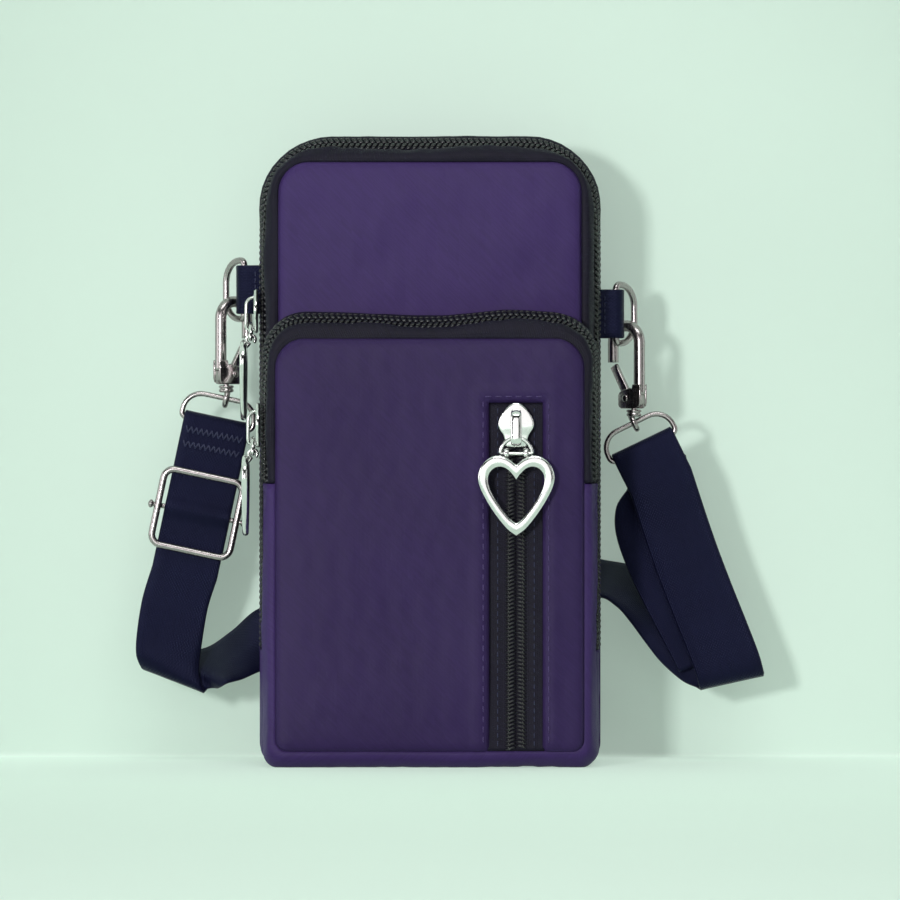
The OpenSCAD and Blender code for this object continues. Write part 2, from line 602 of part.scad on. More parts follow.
// Strap. A ribbon runs through stations: the middle of the webbing and half its width as a vector
module ribbon(stations) {
    n = len(stations);
    mid = [for (s = stations) s[0]];
    side = [for (s = stations) s[1]];
    tan = [for (i = [0 : n - 1]) let (d = mid[min(i + 1, n - 1)] - mid[max(i - 1, 0)]) d / norm(d)];
    up = [for (i = [0 : n - 1]) let (c = cross(tan[i], side[i])) c / norm(c) * web_t / 2];
    pts = [for (i = [0 : n - 1]) each [mid[i] - side[i] - up[i], mid[i] + side[i] - up[i],
        mid[i] + side[i] + up[i], mid[i] - side[i] + up[i]]];
    sides = [for (i = [0 : n - 2]) for (j = [0 : 3])
        let (k = (j + 1) % 4) each [[4 * i + j, 4 * i + k, 4 * i + 4 + k], [4 * i + j, 4 * i + 4 + k,
            4 * i + 4 + j]]];
    polyhedron(points = pts, faces = concat(sides, [[3, 2, 1, 0]], [[for (j = [0 : 3]) 4 * (n - 1) + j]]),
        convexity = 8);
}
// A place in the strap ring's frame: side is -1 on the left, y behind the ring, z above its lower wire
function ring_at(p, side, z, tilt, shift) = [side * (swivel_x + (shift + p[0]) * cos(tilt)
    - (p[2] - ring_h) * sin(tilt)),
    swivel_y + p[1], z - hook_drop - eye_drop + (shift + p[0]) * sin(tilt) + (p[2] - ring_h) * cos(tilt)];
function ring_side(side, tilt) = web_w / 2 * [side * cos(tilt), 0, sin(tilt)];
// The webbing's fold over the ring, from behind to the front, and its runs down to z0 and z1
wrap_r = ring_wire / 2 + run_gap + web_t / 2;
fold_angles = [0, 30, 60, 90, 120, 150, 180];
function loop_stations(side, z, tilt, shift, z0, z1) = let (w = ring_side(side, tilt)) concat(
    [[ring_at([0, wrap_r, z0], side, z, tilt, shift), w]],
    [for (a = fold_angles) [ring_at([0, wrap_r * cos(a), wrap_r * sin(a)], side, z, tilt, shift), w]],
    [[ring_at([0, -wrap_r, z1], side, z, tilt, shift), w]]);
// Stations of the laid webbing from shares of its reach and directions across it
function laid(list) = [for (s = list) [s[0] * lay_reach, s[1] / norm(s[1]) * web_w / 2]];
adj_drop = 27;
left_loop = loop_stations(-1, tab_left_z, left_tilt, left_shift, -adj_drop - adj_h / 2,
    -adj_drop - adj_h * 0.8);
left_lay_shares = [
    [[-0.764, 0.081, 0.48], [1, 0, -0.16]],
    [[-0.776, 0.081, 0.38], [1, 0, -0.15]],
    [[-0.776, 0.081, 0.29], [0.96, 0, -0.3]],
    [[-0.772, 0.089, 0.248], [0.91, 0, -0.41]],
    [[-0.77, 0.105, 0.236], [0.91, 0, -0.41]],
    [[-0.764, 0.121, 0.246], [0.9, 0, -0.44]],
    [[-0.73, 0.129, 0.264], [0.8, -0.2, -0.56]],
    [[-0.68, 0.135, 0.28], [0.62, -0.5, -0.6]],
    [[-0.62, 0.143, 0.3], [0.32, -0.75, -0.58]],
    [[-0.56, 0.155, 0.336], [0.12, -0.6, -0.79]],
    [[-0.48, 0.159, 0.37], [0.08, -0.22, -0.97]],
    [[-0.38, 0.149, 0.36], [0, -0.1, -1]],
    [[-0.2, 0.139, 0.3], [0, 0, -1]],
    [[0, 0.135, 0.23], [0, 0, -1]],
    [[0.2, 0.135, 0.16], [0, 0, -1]],
    [[0.36, 0.135, 0.114], [0, 0, -1]],
    [[0.42, 0.135, 0.101], [0, 0, -1]]];
left_laid = laid(left_lay_shares);
right_back_run = 34;
right_front_run = 12;
right_loop = loop_stations(1, tab_right_z, right_tilt, right_shift, -right_back_run, -right_front_run);
right_lay_shares = [
    [[0.774, 0.081, 0.72], [0.9, 0, 0.44]],
    [[0.806, 0.081, 0.6], [0.95, 0, 0.32]],
    [[0.84, 0.081, 0.47], [0.95, 0, 0.3]],
    [[0.88, 0.081, 0.35], [0.95, 0, 0.3]],
    [[0.902, 0.083, 0.275], [0.98, 0, 0.2]],
    [[0.908, 0.093, 0.244], [0.99, 0, 0.14]],
    [[0.906, 0.109, 0.236], [0.99, 0, 0.12]],
    [[0.896, 0.125, 0.246], [0.97, -0.15, 0]],
    [[0.85, 0.143, 0.27], [0.85, -0.4, -0.3]],
    [[0.78, 0.159, 0.31], [0.66, -0.6, -0.5]],
    [[0.7, 0.169, 0.38], [0.5, -0.7, -0.55]],
    [[0.62, 0.174, 0.46], [0.36, -0.75, -0.55]],
    [[0.54, 0.179, 0.52], [0.2, -0.8, -0.55]],
    [[0.44, 0.199, 0.53], [0.06, -0.6, -0.8]],
    [[0.3, 0.239, 0.48], [0, -0.3, -0.95]],
    [[0.1, 0.293, 0.37], [0, -0.1, -1]],
    [[-0.1, 0.313, 0.25], [0, 0, -1]],
    [[-0.3, 0.315, 0.14], [0, 0, -1]],
    [[-0.42, 0.315, 0.101], [0, 0, -1]]];
right_laid = laid(right_lay_shares);
module strap_left() color(navy) ribbon(concat(left_loop, left_laid));
module strap_right() color(navy) ribbon(concat(right_loop, right_laid));
// The length that isn't worn, folded to and fro on its edge behind the pouch
bundle_shares = [0.42, 0.135, 0.315];
bundle_x = bundle_shares[0] * lay_reach;
bundle_y0 = bundle_shares[1] * lay_reach;
bundle_y1 = bundle_shares[2] * lay_reach;
bundle_runs = 7;
function bundle_line() = let (step = (bundle_y1 - bundle_y0) / (bundle_runs + 1))
    [for (k = [0 : bundle_runs]) let (s = k % 2 == 0 ? 1 : -1, y = bundle_y0 + k * step)
    each [for (a = [-90 : 30 : 90]) [s * (bundle_x + step / 2 * cos(a)), y + step / 2 + step / 2 * sin(a)]]];
module strap_bundle() color(navy) {
    line = bundle_line();
    n = len(line);
    tan = [for (i = [0 : n - 1]) let (d = line[min(i + 1, n - 1)] - line[max(i - 1, 0)]) d / norm(d)];
    off = [for (t = tan) [-t[1], t[0]] * web_t / 2];
    linear_extrude(height = web_w) polygon(concat([for (i = [0 : n - 1]) line[i] + off[i]],
        [for (i = [1 : n]) line[n - i] - off[n - i]]));
}
// Adjuster: a frame in front of the webbing and a bar behind it, on ends that reach back
module at_adjuster() mirror([1, 0, 0]) at_ring(tab_left_z, left_tilt, left_shift)
    translate([0, -wrap_r - web_t / 2 - run_gap - adj_wire / 2, -adj_drop]) children();
adj_back = web_t + 2 * run_gap + adj_wire;
ball_r = 0.8 * adj_wire;
pin_l = 1.2 * adj_wire;
module adjuster_frame() color(silver) at_adjuster() {
    translate([-adj_w / 2, 0, -adj_h / 2])
        wire_loop(adj_w, adj_h, [2 * adj_wire, 2 * adj_wire, 2 * adj_wire, 2 * adj_wire], adj_wire);
    for (s = [-1, 1]) {
        rod([s * adj_w / 2, 0, 0], [s * (adj_w / 2 + pin_l), 0, 0], adj_wire * 0.8);
        translate([s * (adj_w / 2 + pin_l), 0, 0]) sphere(r = ball_r);
    }
}
module adjuster_bar() color(silver) at_adjuster() {
    rod([-adj_w / 2, adj_back, 0], [adj_w / 2, adj_back, 0], adj_wire);
    for (s = [-1, 1]) {
        rod([s * adj_w / 2, 0, 0], [s * adj_w / 2, adj_back, 0], adj_wire);
        translate([s * adj_w / 2, adj_back, 0]) sphere(d = adj_wire);
    }
}

back_panel();
main_panel();
main_gusset();
main_tape_rear();
main_tape_front();
main_coil_rear();
main_coil_front();
front_gusset();
front_tape_rear();
front_tape_front();
front_coil_rear();
front_coil_front();
front_panel_lower();
front_panel_upper();
pocket_tape_lower();
pocket_teeth_lower();
pocket_tape_upper();
pocket_teeth_upper();
pocket_bag();
pocket_stop();
pocket_slider();
pocket_link();
pocket_heart();
front_slider();
front_link();
front_heart();
main_slider();
main_link();
main_heart();
left_tab();
left_dee();
left_hook();
left_gate();
left_rivet();
left_swivel();
left_ring();
right_tab();
right_dee();
right_hook();
right_gate();
right_rivet();
right_swivel();
right_ring();
strap_left();
strap_bundle();
strap_right();
adjuster_frame();
adjuster_bar();
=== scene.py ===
"""Phone pouch in satin nylon with black zips, heart pulls, snap hooks and a webbing strap.

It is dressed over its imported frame. Lengths are in millimetres unless they go to the scene itself.
"""
import math
import random

import bpy
import numpy as np
from bpy.props import FloatProperty, FloatVectorProperty, IntProperty, PointerProperty
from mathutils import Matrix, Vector


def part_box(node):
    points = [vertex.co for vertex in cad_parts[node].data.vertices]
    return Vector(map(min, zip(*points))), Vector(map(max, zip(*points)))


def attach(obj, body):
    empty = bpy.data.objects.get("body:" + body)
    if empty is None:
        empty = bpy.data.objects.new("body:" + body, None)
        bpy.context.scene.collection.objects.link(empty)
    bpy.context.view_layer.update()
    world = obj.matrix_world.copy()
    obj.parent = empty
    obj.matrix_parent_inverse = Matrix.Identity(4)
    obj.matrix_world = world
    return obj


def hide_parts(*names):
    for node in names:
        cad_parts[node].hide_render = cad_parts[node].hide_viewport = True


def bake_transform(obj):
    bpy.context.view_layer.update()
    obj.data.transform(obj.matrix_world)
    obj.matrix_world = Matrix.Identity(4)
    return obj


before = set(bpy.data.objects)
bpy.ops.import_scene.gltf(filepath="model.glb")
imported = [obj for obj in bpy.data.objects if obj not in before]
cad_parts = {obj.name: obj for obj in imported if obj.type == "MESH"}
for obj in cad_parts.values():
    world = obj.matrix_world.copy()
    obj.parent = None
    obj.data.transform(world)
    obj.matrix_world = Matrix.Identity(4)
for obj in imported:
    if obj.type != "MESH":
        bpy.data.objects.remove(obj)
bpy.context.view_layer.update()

bl_info = {
    "name": "Phone pouch",
    "version": (1, 0, 0),
    "blender": (4, 5, 0),
    "location": "View3D > Sidebar > Pouch",
    "description": "Dresses the pouch's frame in cloth, zips, webbing and nickel",
    "category": "Object",
}

MM = 0.001
TURN = 2 * math.pi


def span(node, axis):
    """Lowest and highest coordinate of a frame node, in millimetres."""
    low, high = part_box(node)
    return low[axis] / MM, high[axis] / MM


# Half the gap between the two rows of a long zip
ZIP_GAP = 0.15
# Places read from the frame
HALF_W = span("main_coil_front", 0)[1]
BODY_H = span("main_coil_front", 2)[1]
MAIN_END = span("main_coil_front", 2)[0]
MAIN_ZIP_Y = span("main_coil_front", 1)[1] + ZIP_GAP
PANEL_Y = span("main_panel", 1)[1]
BACK_Y = span("back_panel", 1)[1]
FRONT_HALF = span("front_coil_front", 0)[1]
FRONT_H = span("front_coil_front", 2)[1]
FOLD_Z = span("front_panel_lower", 2)[1]
FRONT_Y = span("front_panel_lower", 1)[0]
FRONT_ZIP_Y = span("front_coil_front", 1)[1] + ZIP_GAP
POCKET_LOW, POCKET_TOP = span("pocket_tape_lower", 2)[0], span("pocket_tape_upper", 2)[1]
POCKET_X0, POCKET_X1 = span("pocket_tape_lower", 0)
POCKET_X = (POCKET_X0 + POCKET_X1) / 2
# Corner radii, thicknesses and how far the panels lie inside the outline
TOP_R, FOOT_R, FRONT_TOP_R, PANEL_FOOT_R = 22, 6, 13, 3.6
COIL_H, COIL_W, PANEL_T = 0.9, 2.6, 2
PANEL_INSET, FRONT_INSET, PANEL_DROP, SEAM_Z = 6, 4.2, 8, 4.8
PANEL_HALF = HALF_W - PANEL_INSET
FLAP_HALF = FRONT_HALF - FRONT_INSET
WEB_W, WEB_T = 20, 1.2
# Two points on the front, a little below and above the flap's fold, in metres
FOLD_REACH = 4
FOLD_SPAN = ((0, FRONT_Y * MM, (FOLD_Z - FOLD_REACH) * MM), (0, FRONT_Y * MM, (FOLD_Z + FOLD_REACH) * MM))


# ---------------------------------------------------------------- settings


class PouchCloth(bpy.types.PropertyGroup):
    """Sizes and colours of the cloth, webbing and zips."""

    crown: FloatProperty(name="Crown", description="How far the panels swell in the middle",
                         default=0.0015, min=0, max=0.004, unit="LENGTH")
    roll: FloatProperty(name="Rolled edge", description="Width over which a panel turns in to its seam",
                        default=0.0026, min=0.0005, max=0.006, unit="LENGTH")
    creases: FloatProperty(name="Creases", description="Depth of the soft creases in the cloth",
                           default=0.00026, min=0, max=0.001, unit="LENGTH")
    stitch_pitch: FloatProperty(name="Stitch pitch", description="Distance from one stitch to the next",
                                default=0.003, min=0.0015, max=0.006, unit="LENGTH")
    coil_pitch: FloatProperty(name="Coil pitch", description="Distance between loops of the long zips",
                              default=0.00175, min=0.001, max=0.004, unit="LENGTH")
    seed: IntProperty(name="Seed", description="Number that fixes the random creases", default=7, min=0)
    nylon: FloatVectorProperty(name="Nylon", description="Colour of the satin nylon", subtype="COLOR",
                               size=3, default=(0.0365, 0.0195, 0.089), min=0, max=1)
    webbing: FloatVectorProperty(name="Webbing", description="Colour of the strap's webbing", subtype="COLOR",
                                 size=3, default=(0.0032, 0.0033, 0.0125), min=0, max=1)
    tape: FloatVectorProperty(name="Zip tape", description="Colour of the zips' woven tape", subtype="COLOR",
                              size=3, default=(0.0062, 0.0052, 0.0115), min=0, max=1)
    coils: FloatVectorProperty(name="Coils", description="Colour of the coils and teeth", subtype="COLOR",
                               size=3, default=(0.005, 0.0048, 0.0072), min=0, max=1)


class PouchMetal(bpy.types.PropertyGroup):
    """Finish of the nickel pieces."""

    nickel: FloatVectorProperty(name="Nickel", description="Colour of the polished nickel", subtype="COLOR",
                                size=3, default=(0.80, 0.79, 0.78), min=0, max=1)
    dark: FloatVectorProperty(name="Dark nickel", description="Colour of the hooks, rings and adjuster",
                              subtype="COLOR", size=3, default=(0.37, 0.33, 0.335), min=0, max=1)
    polish: FloatProperty(name="Roughness", description="Roughness of the polished nickel",
                          default=0.11, min=0.02, max=0.6, subtype="FACTOR")


class PouchStage(bpy.types.PropertyGroup):
    """Backdrop, lights and camera."""

    backdrop: FloatVectorProperty(name="Backdrop", description="Colour of the floor and backdrop",
                                  subtype="COLOR", size=3, default=(0.684, 0.838, 0.738), min=0, max=1)
    distance: FloatProperty(name="Camera distance", description="Distance of the camera from the pouch",
                            default=2.2, min=0.3, max=3, unit="LENGTH")
    lens: FloatProperty(name="Lens", description="Focal length of the camera", default=293, min=35, max=400)
    key: FloatProperty(name="Key light", description="Power of the key light", default=14.5, min=0,
                       unit="POWER")
    fill: FloatProperty(name="Room light", description="Strength of the light from all round",
                        default=0.13, min=0, max=3)


# ---------------------------------------------------------------- meshes


def put_mesh(name, verts, faces, material, slot, body=None, uvs=None):
    """A mesh object from points in millimetres, riding on a body of the frame when one is named."""
    mesh = bpy.data.meshes.new(name)
    mesh.from_pydata([tuple(p) for p in np.asarray(verts, float) * MM], [], faces)
    if uvs is not None:
        layer = mesh.uv_layers.new(name="cloth")
        loops = np.empty(len(mesh.loops), int)
        mesh.loops.foreach_get("vertex_index", loops)
        layer.data.foreach_set("uv", (np.asarray(uvs, float) * MM)[loops].ravel())
    mesh.polygons.foreach_set("use_smooth", [True] * len(mesh.polygons))
    mesh.materials.append(material)
    mesh.validate()
    obj = bpy.data.objects.new(name, mesh)
    bpy.context.scene.collection.objects.link(obj)
    if body:
        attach(obj, body)
    return obj


def unit(vectors):
    """Rows of vectors, each brought to length one."""
    return vectors / np.linalg.norm(vectors, axis=1, keepdims=True)


def lengths(points):
    """How far along a line each of its points lies."""
    return np.concatenate([[0], np.cumsum(np.linalg.norm(np.diff(points, axis=0), axis=1))])


def at_length(points, far, want):
    """The places on a line at the given lengths along it."""
    return np.stack([np.interp(want, far, points[:, k]) for k in range(points.shape[1])], axis=-1)


def polar(radius, degrees):
    """The two coordinates of a point on a circle."""
    return radius * math.cos(math.radians(degrees)), radius * math.sin(math.radians(degrees))


def grid_normals(grid):
    """Unit normals of a grid of points, from its rows and columns."""
    n = np.cross(np.gradient(grid, axis=0), np.gradient(grid, axis=1))
    return n / np.maximum(np.linalg.norm(n, axis=2, keepdims=True), 1e-9)


def shell(grid, thick, flip=False, keep=None):
    """Points, faces and cloth coordinates of a skin with a thickness: the grid is its outer side."""
    rows, cols = grid.shape[:2]
    inner = grid - grid_normals(grid) * (-thick if flip else thick)
    verts = np.concatenate([grid.reshape(-1, 3), inner.reshape(-1, 3)])
    along, across = lengths(grid[:, cols // 2]), lengths(grid[rows // 2])
    uv = np.stack(np.meshgrid(along, across, indexing="ij"), axis=2).reshape(-1, 2)
    total = rows * cols
    faces, edges = [], {}
    for i in range(rows - 1):
        for j in range(cols - 1):
            if keep is not None and not keep(i, j):
                continue
            a, b, c, d = i * cols + j, (i + 1) * cols + j, (i + 1) * cols + j + 1, i * cols + j + 1
            quad = (a, d, c, b) if flip else (a, b, c, d)
            faces += [quad, tuple(q + total for q in reversed(quad))]
            for edge in zip(quad, quad[1:] + quad[:1]):
                edges[edge] = True
    # An edge met from one side only is a rim, closed by a strip between the two skins
    faces += [(q, p, p + total, q + total) for p, q in edges if (q, p) not in edges]
    return verts, faces, np.concatenate([uv, uv])


def ring_faces(count, sides, closed=False, flip=False):
    """Faces between rings of points, with a cap on both ends where the row of rings is open."""
    faces = []
    for i in range(count if closed else count - 1):
        a, b = i * sides, (i + 1) % count * sides
        for k in range(sides):
            m = (k + 1) % sides
            faces.append((a + k, a + m, b + m, b + k) if flip else (a + k, b + k, b + m, a + m))
    if not closed:
        ends = range(sides), reversed(range((count - 1) * sides, count * sides))
        faces += [tuple(end)[::-1] if flip else tuple(end) for end in ends]
    return faces


def tube(points, radius, sides=12, closed=False, squash_to=None):
    """Points and faces of a round wire along a line; squash_to(share) gives its two half widths instead."""
    pts = np.asarray(points, float)
    n = len(pts)
    tan = np.roll(pts, -1, 0) - np.roll(pts, 1, 0)
    if not closed:
        tan[0], tan[-1] = pts[1] - pts[0], pts[-1] - pts[-2]
    tan /= np.linalg.norm(tan, axis=1, keepdims=True)
    ref = np.array([0, 0, 1.0]) if abs(tan[0][2]) < 0.9 else np.array([0, 1.0, 0])
    side = np.cross(tan[0], ref)
    frames = []
    for t in tan:
        side = side - t * side.dot(t)
        side /= np.linalg.norm(side)
        frames.append((side.copy(), np.cross(t, side)))
    if closed:
        # The twist left over is shared out along the wire
        first, last = (f[0] - tan[0] * f[0].dot(tan[0]) for f in (frames[0], frames[-1]))
        twist = math.atan2(np.cross(last, first).dot(tan[0]), last.dot(first))
        for i, (a, b) in enumerate(frames):
            c, s = math.cos(twist * i / n), math.sin(twist * i / n)
            frames[i] = (a * c + b * s, b * c - a * s)
    verts = []
    for i, (p, (a, b)) in enumerate(zip(pts, frames)):
        ra, rb = squash_to(i / max(n - 1, 1)) if squash_to else (radius, radius)
        for k in range(sides):
            w = TURN * k / sides
            verts.append(p + a * ra * math.cos(w) + b * rb * math.sin(w))
    return verts, ring_faces(n, sides, closed)


def turned_solid(profile, sides, place):
    """A profile of (radius, height) turned round an axis; place(u, v, height) puts each point."""
    verts = [place(r * math.cos(TURN * k / sides), r * math.sin(TURN * k / sides), height)
             for r, height in profile for k in range(sides)]
    return np.array(verts), ring_faces(len(profile), sides)


def densified(points, step):
    """The closed outline through points, with more points where they lie further apart than a step."""
    out = []
    for p, q in zip(points, points[1:] + points[:1]):
        out += line(p, q, max(1, int(math.hypot(q[0] - p[0], q[1] - p[1]) / step)))
    return out


def joined(parts):
    """Several (points, faces) as one."""
    verts, faces = [], []
    for v, f in parts:
        base = len(verts)
        verts.extend(v)
        faces.extend(tuple(i + base for i in face) for face in f)
    return verts, faces


def smooth_line(points, step):
    """Points along a soft curve through the given ones, of any dimension, about a step apart."""
    p = np.asarray(points, float)
    p = np.vstack([2 * p[0] - p[1], p, 2 * p[-1] - p[-2]])
    out = []
    for i in range(1, len(p) - 2):
        count = max(1, int(round(np.linalg.norm((p[i + 1] - p[i])[:3]) / step)))
        for k in range(count):
            t = k / count
            out.append(0.5 * (2 * p[i] + (p[i + 1] - p[i - 1]) * t
                              + (2 * p[i - 1] - 5 * p[i] + 4 * p[i + 1] - p[i + 2]) * t * t
                              + (3 * p[i] - p[i - 1] - 3 * p[i + 1] + p[i + 2]) * t ** 3))
    out.append(p[-2])
    return np.array(out)


def ripple(a, b, size, seed):
    """Soft, repeatable unevenness between about -1 and 1 over two lengths in millimetres."""
    rng = random.Random(seed)
    total = 0
    for _ in range(7):
        turn, wave, phase = rng.uniform(0, math.pi), size * rng.uniform(0.8, 2.6), rng.uniform(0, 6.28)
        total = total + np.sin((a * math.cos(turn) + b * math.sin(turn)) * 2 * math.pi / wave + phase)
    return total / 3.5


def bell(x, middle, width):
    """A smooth bump of height one."""
    return np.exp(-((x - middle) / width) ** 2)


def smoothstep(x, low, high):
    """A smooth rise from 0 at low to 1 at high."""
    t = np.clip((x - low) / (high - low), 0, 1)
    return t * t * (3 - 2 * t)


# ---------------------------------------------------------------- outlines


def arc(cx, cz, r, a0, a1, n=10):
    """n + 1 points on a circle from one angle to another."""
    return [(cx + r * math.cos(math.radians(a0 + (a1 - a0) * i / n)),
             cz + r * math.sin(math.radians(a0 + (a1 - a0) * i / n))) for i in range(n + 1)]


def line(a, b, n):
    """n points on a straight line, without its end."""
    return [(a[0] + (b[0] - a[0]) * i / n, a[1] + (b[1] - a[1]) * i / n) for i in range(n)]


def arch(hw, z0, z1, r, side=30, top=44):
    """From the left foot up, over the top and down to the right foot."""
    left, right = arc(-hw + r, z1 - r, r, 180, 90), arc(hw - r, z1 - r, r, 90, 0)
    return np.array(line((-hw, z0), left[0], side) + left[:-1] + line(left[-1], right[0], top)
                    + right[:-1] + line(right[-1], (hw, z0), side) + [(hw, z0)])


def foot(hw, z0, z1, r, side=30, top=44):
    """From the left down, under the bottom and up on the right."""
    left, right = arc(-hw + r, z0 + r, r, 180, 270), arc(hw - r, z0 + r, r, 270, 360)
    return np.array(line((-hw, z1), left[0], side) + left[:-1] + line(left[-1], right[0], top)
                    + right[:-1] + line(right[-1], (hw, z1), side) + [(hw, z1)])


def ring(hw, z0, z1, rt, rb):
    """The closed outline of a panel, from its lower right corner round."""
    return np.array(line((-hw + rb, z0), (hw - rb, z0), 40) + arc(hw - rb, z0 + rb, rb, -90, 0)[:-1]
                    + line((hw, z0 + rb), (hw, z1 - rt), 60) + arc(hw - rt, z1 - rt, rt, 0, 90)[:-1]
                    + line((hw - rt, z1), (-hw + rt, z1), 40) + arc(-hw + rt, z1 - rt, rt, 90, 180)[:-1]
                    + line((-hw, z1 - rt), (-hw, z0 + rb), 60) + arc(-hw + rb, z0 + rb, rb, 180, 270)[:-1])


def inside(x, z, hw, z0, z1, rt, rb):
    """How far a point lies inside a panel's outline, in millimetres."""
    r = np.where(z > (z0 + z1) / 2, rt, rb)
    cz, hz = (z0 + z1) / 2, (z1 - z0) / 2
    qx, qz = np.abs(x) - hw + r, np.abs(z - cz) - hz + r
    outer = np.hypot(np.maximum(qx, 0), np.maximum(qz, 0))
    return r - outer - np.minimum(np.maximum(qx, qz), 0)


def zip_turned(points, zip_of):
    """Points near a long zip, with the zip rolled towards the front. The front zip also has its wave."""
    p = np.array(points, float)
    hw, top, r, y0 = ((HALF_W, BODY_H, TOP_R, MAIN_ZIP_Y) if zip_of == "main"
                      else (FRONT_HALF, FRONT_H, FRONT_TOP_R, FRONT_ZIP_Y))
    hw, top, r = hw - COIL_H, top - COIL_H, r - COIL_H
    x, y, z = p[..., 0], p[..., 1], p[..., 2]
    cx, cz = np.sign(x) * np.maximum(hw - r, 0), top - r
    beside, above = np.abs(x) > hw - r, z > cz
    dx, dz = np.where(beside, x - cx, 0), np.where(above, z - cz, 0)
    far = np.maximum(np.hypot(dx, dz), 1e-6)
    ux, uz = dx / far, dz / far
    out, back = far - r, y - y0
    turn = np.radians(14 + 22 * smoothstep(z, top - r - 14, top - r * 0.4))
    near = 1 - smoothstep(np.abs(back), 3.4, 8.5)
    roll = out * np.cos(turn) + back * np.sin(turn) - COIL_W * np.sin(turn)
    lean = back * np.cos(turn) - out * np.sin(turn)
    shift = (roll - out) * near * (np.abs(out) < 7)
    p[..., 0], p[..., 2] = x + ux * shift, z + uz * shift
    p[..., 1] = y + (lean - back) * near
    if zip_of == "front":
        wave = 0.9 * bell(x, 24, 11) - 1.1 * bell(x, -2, 15) - 0.5 * smoothstep(x, 36, 46)
        p[..., 2] += wave * smoothstep(z, FRONT_H - 9, FRONT_H - 3)
    return p


# ---------------------------------------------------------------- materials

VECTOR, FLOAT = "NodeSocketVector", "NodeSocketFloat"


class Value:
    """A number that a shader works out at each point: a sum or product of two makes its own node."""

    def __init__(self, socket):
        self.socket, self.tree = socket, socket.id_data

    def to(self, target):
        self.tree.links.new(self.socket, target)

    def reckon(self, operation, other=None, clamp=False):
        node = self.tree.nodes.new("ShaderNodeMath")
        node.operation, node.use_clamp = operation, clamp
        self.to(node.inputs[0])
        if isinstance(other, Value):
            other.to(node.inputs[1])
        elif other is not None:
            node.inputs[1].default_value = other
        return Value(node.outputs[0])

    def __add__(self, other):
        return self.reckon("ADD", other)

    def __mul__(self, other):
        return self.reckon("MULTIPLY", other)

    def clamped_sum(self, other):
        return self.reckon("ADD", other, clamp=True)


def set_inputs(node, values):
    for name, value in values.items():
        node.inputs[name].default_value = value


def group(name, inputs, outputs):
    """An empty shader node group with its sockets, and its input and output nodes."""
    tree = bpy.data.node_groups.new(name, "ShaderNodeTree")
    for label, kind, value in inputs:
        socket = tree.interface.new_socket(name=label, in_out="INPUT", socket_type=kind)
        if value is not None:
            socket.default_value = value
    for label, kind in outputs:
        tree.interface.new_socket(name=label, in_out="OUTPUT", socket_type=kind)
    return tree, tree.nodes.new("NodeGroupInput"), tree.nodes.new("NodeGroupOutput")


def parts_of(tree, vector):
    """The three numbers of a vector."""
    split = tree.nodes.new("ShaderNodeSeparateXYZ")
    tree.links.new(vector, split.inputs[0])
    return [Value(socket) for socket in split.outputs]


def stretched(tree, vector, scale, rotation=(0, 0, 0)):
    """Coordinates drawn out, so that what is spread over them runs in streaks."""
    node = tree.nodes.new("ShaderNodeMapping")
    set_inputs(node, {"Scale": scale, "Rotation": rotation})
    tree.links.new(vector, node.inputs["Vector"])
    return node.outputs["Vector"]


def noise(tree, vector, scale, detail):
    node = tree.nodes.new("ShaderNodeTexNoise")
    set_inputs(node, {"Detail": detail, "Scale": scale})
    tree.links.new(vector, node.inputs["Vector"])
    return Value(node.outputs["Fac"])


def weave_group():
    """Warp and weft threads crossing: a height, and a mask that tells thread from thread."""
    tree, given, out = group(
        "Weave", [("Vector", VECTOR, None), ("Threads", FLOAT, 2000.0), ("Slant", FLOAT, 0.5)],
        [("Height", FLOAT), ("Threads", FLOAT)])
    threads, slant = Value(given.outputs["Threads"]), Value(given.outputs["Slant"])
    u, v = (part * threads for part in parts_of(tree, given.outputs["Vector"])[:2])
    leaning = u + v * slant
    warp, weft = (leaning * TURN).reckon("SINE"), (v * TURN).reckon("SINE")
    (warp * 0.32 + weft * 0.18).clamped_sum(0.5).to(out.inputs["Height"])
    cells = tree.nodes.new("ShaderNodeTexWhiteNoise")
    cells.noise_dimensions = "2D"
    floor = tree.nodes.new("ShaderNodeVectorMath")
    floor.operation = "FLOOR"
    pair = tree.nodes.new("ShaderNodeCombineXYZ")
    leaning.to(pair.inputs[0])
    (v * 0.12).to(pair.inputs[1])
    tree.links.new(pair.outputs[0], floor.inputs[0])
    tree.links.new(floor.outputs[0], cells.inputs["Vector"])
    tree.links.new(cells.outputs["Value"], out.inputs["Threads"])
    return tree


def rub_group():
    """Where cloth is rubbed: a broad mask from noise."""
    tree, given, out = group("Rub", [("Vector", VECTOR, None), ("Size", FLOAT, 30.0)], [("Broad", FLOAT)])
    broad = noise(tree, given.outputs["Vector"], 1, 4.0)
    tree.links.new(given.outputs["Size"], broad.socket.node.inputs["Scale"])
    broad.to(out.inputs["Broad"])
    return tree


def handling_group():
    """Fine hairlines and handling marks on polished metal."""
    tree, given, out = group("Handling", [("Vector", VECTOR, None)], [("Haze", FLOAT), ("Lines", FLOAT)])
    vector = given.outputs["Vector"]
    noise(tree, vector, 260, 4).to(out.inputs["Haze"])
    noise(tree, stretched(tree, vector, (1.0, 1.0, 0.08), (0.3, 0.5, 0.2)), 2600, 2).to(out.inputs["Lines"])
    return tree


GROUPS = {"Weave": weave_group, "Rub": rub_group, "Handling": handling_group}


def use(tree, name, vector, **values):
    """The outputs of one of the shared groups, made when it is first asked for."""
    node = tree.nodes.new("ShaderNodeGroup")
    node.node_tree = bpy.data.node_groups.get(name) or GROUPS[name]()
    tree.links.new(vector, node.inputs["Vector"])
    set_inputs(node, values)
    return {socket.name: Value(socket) for socket in node.outputs}


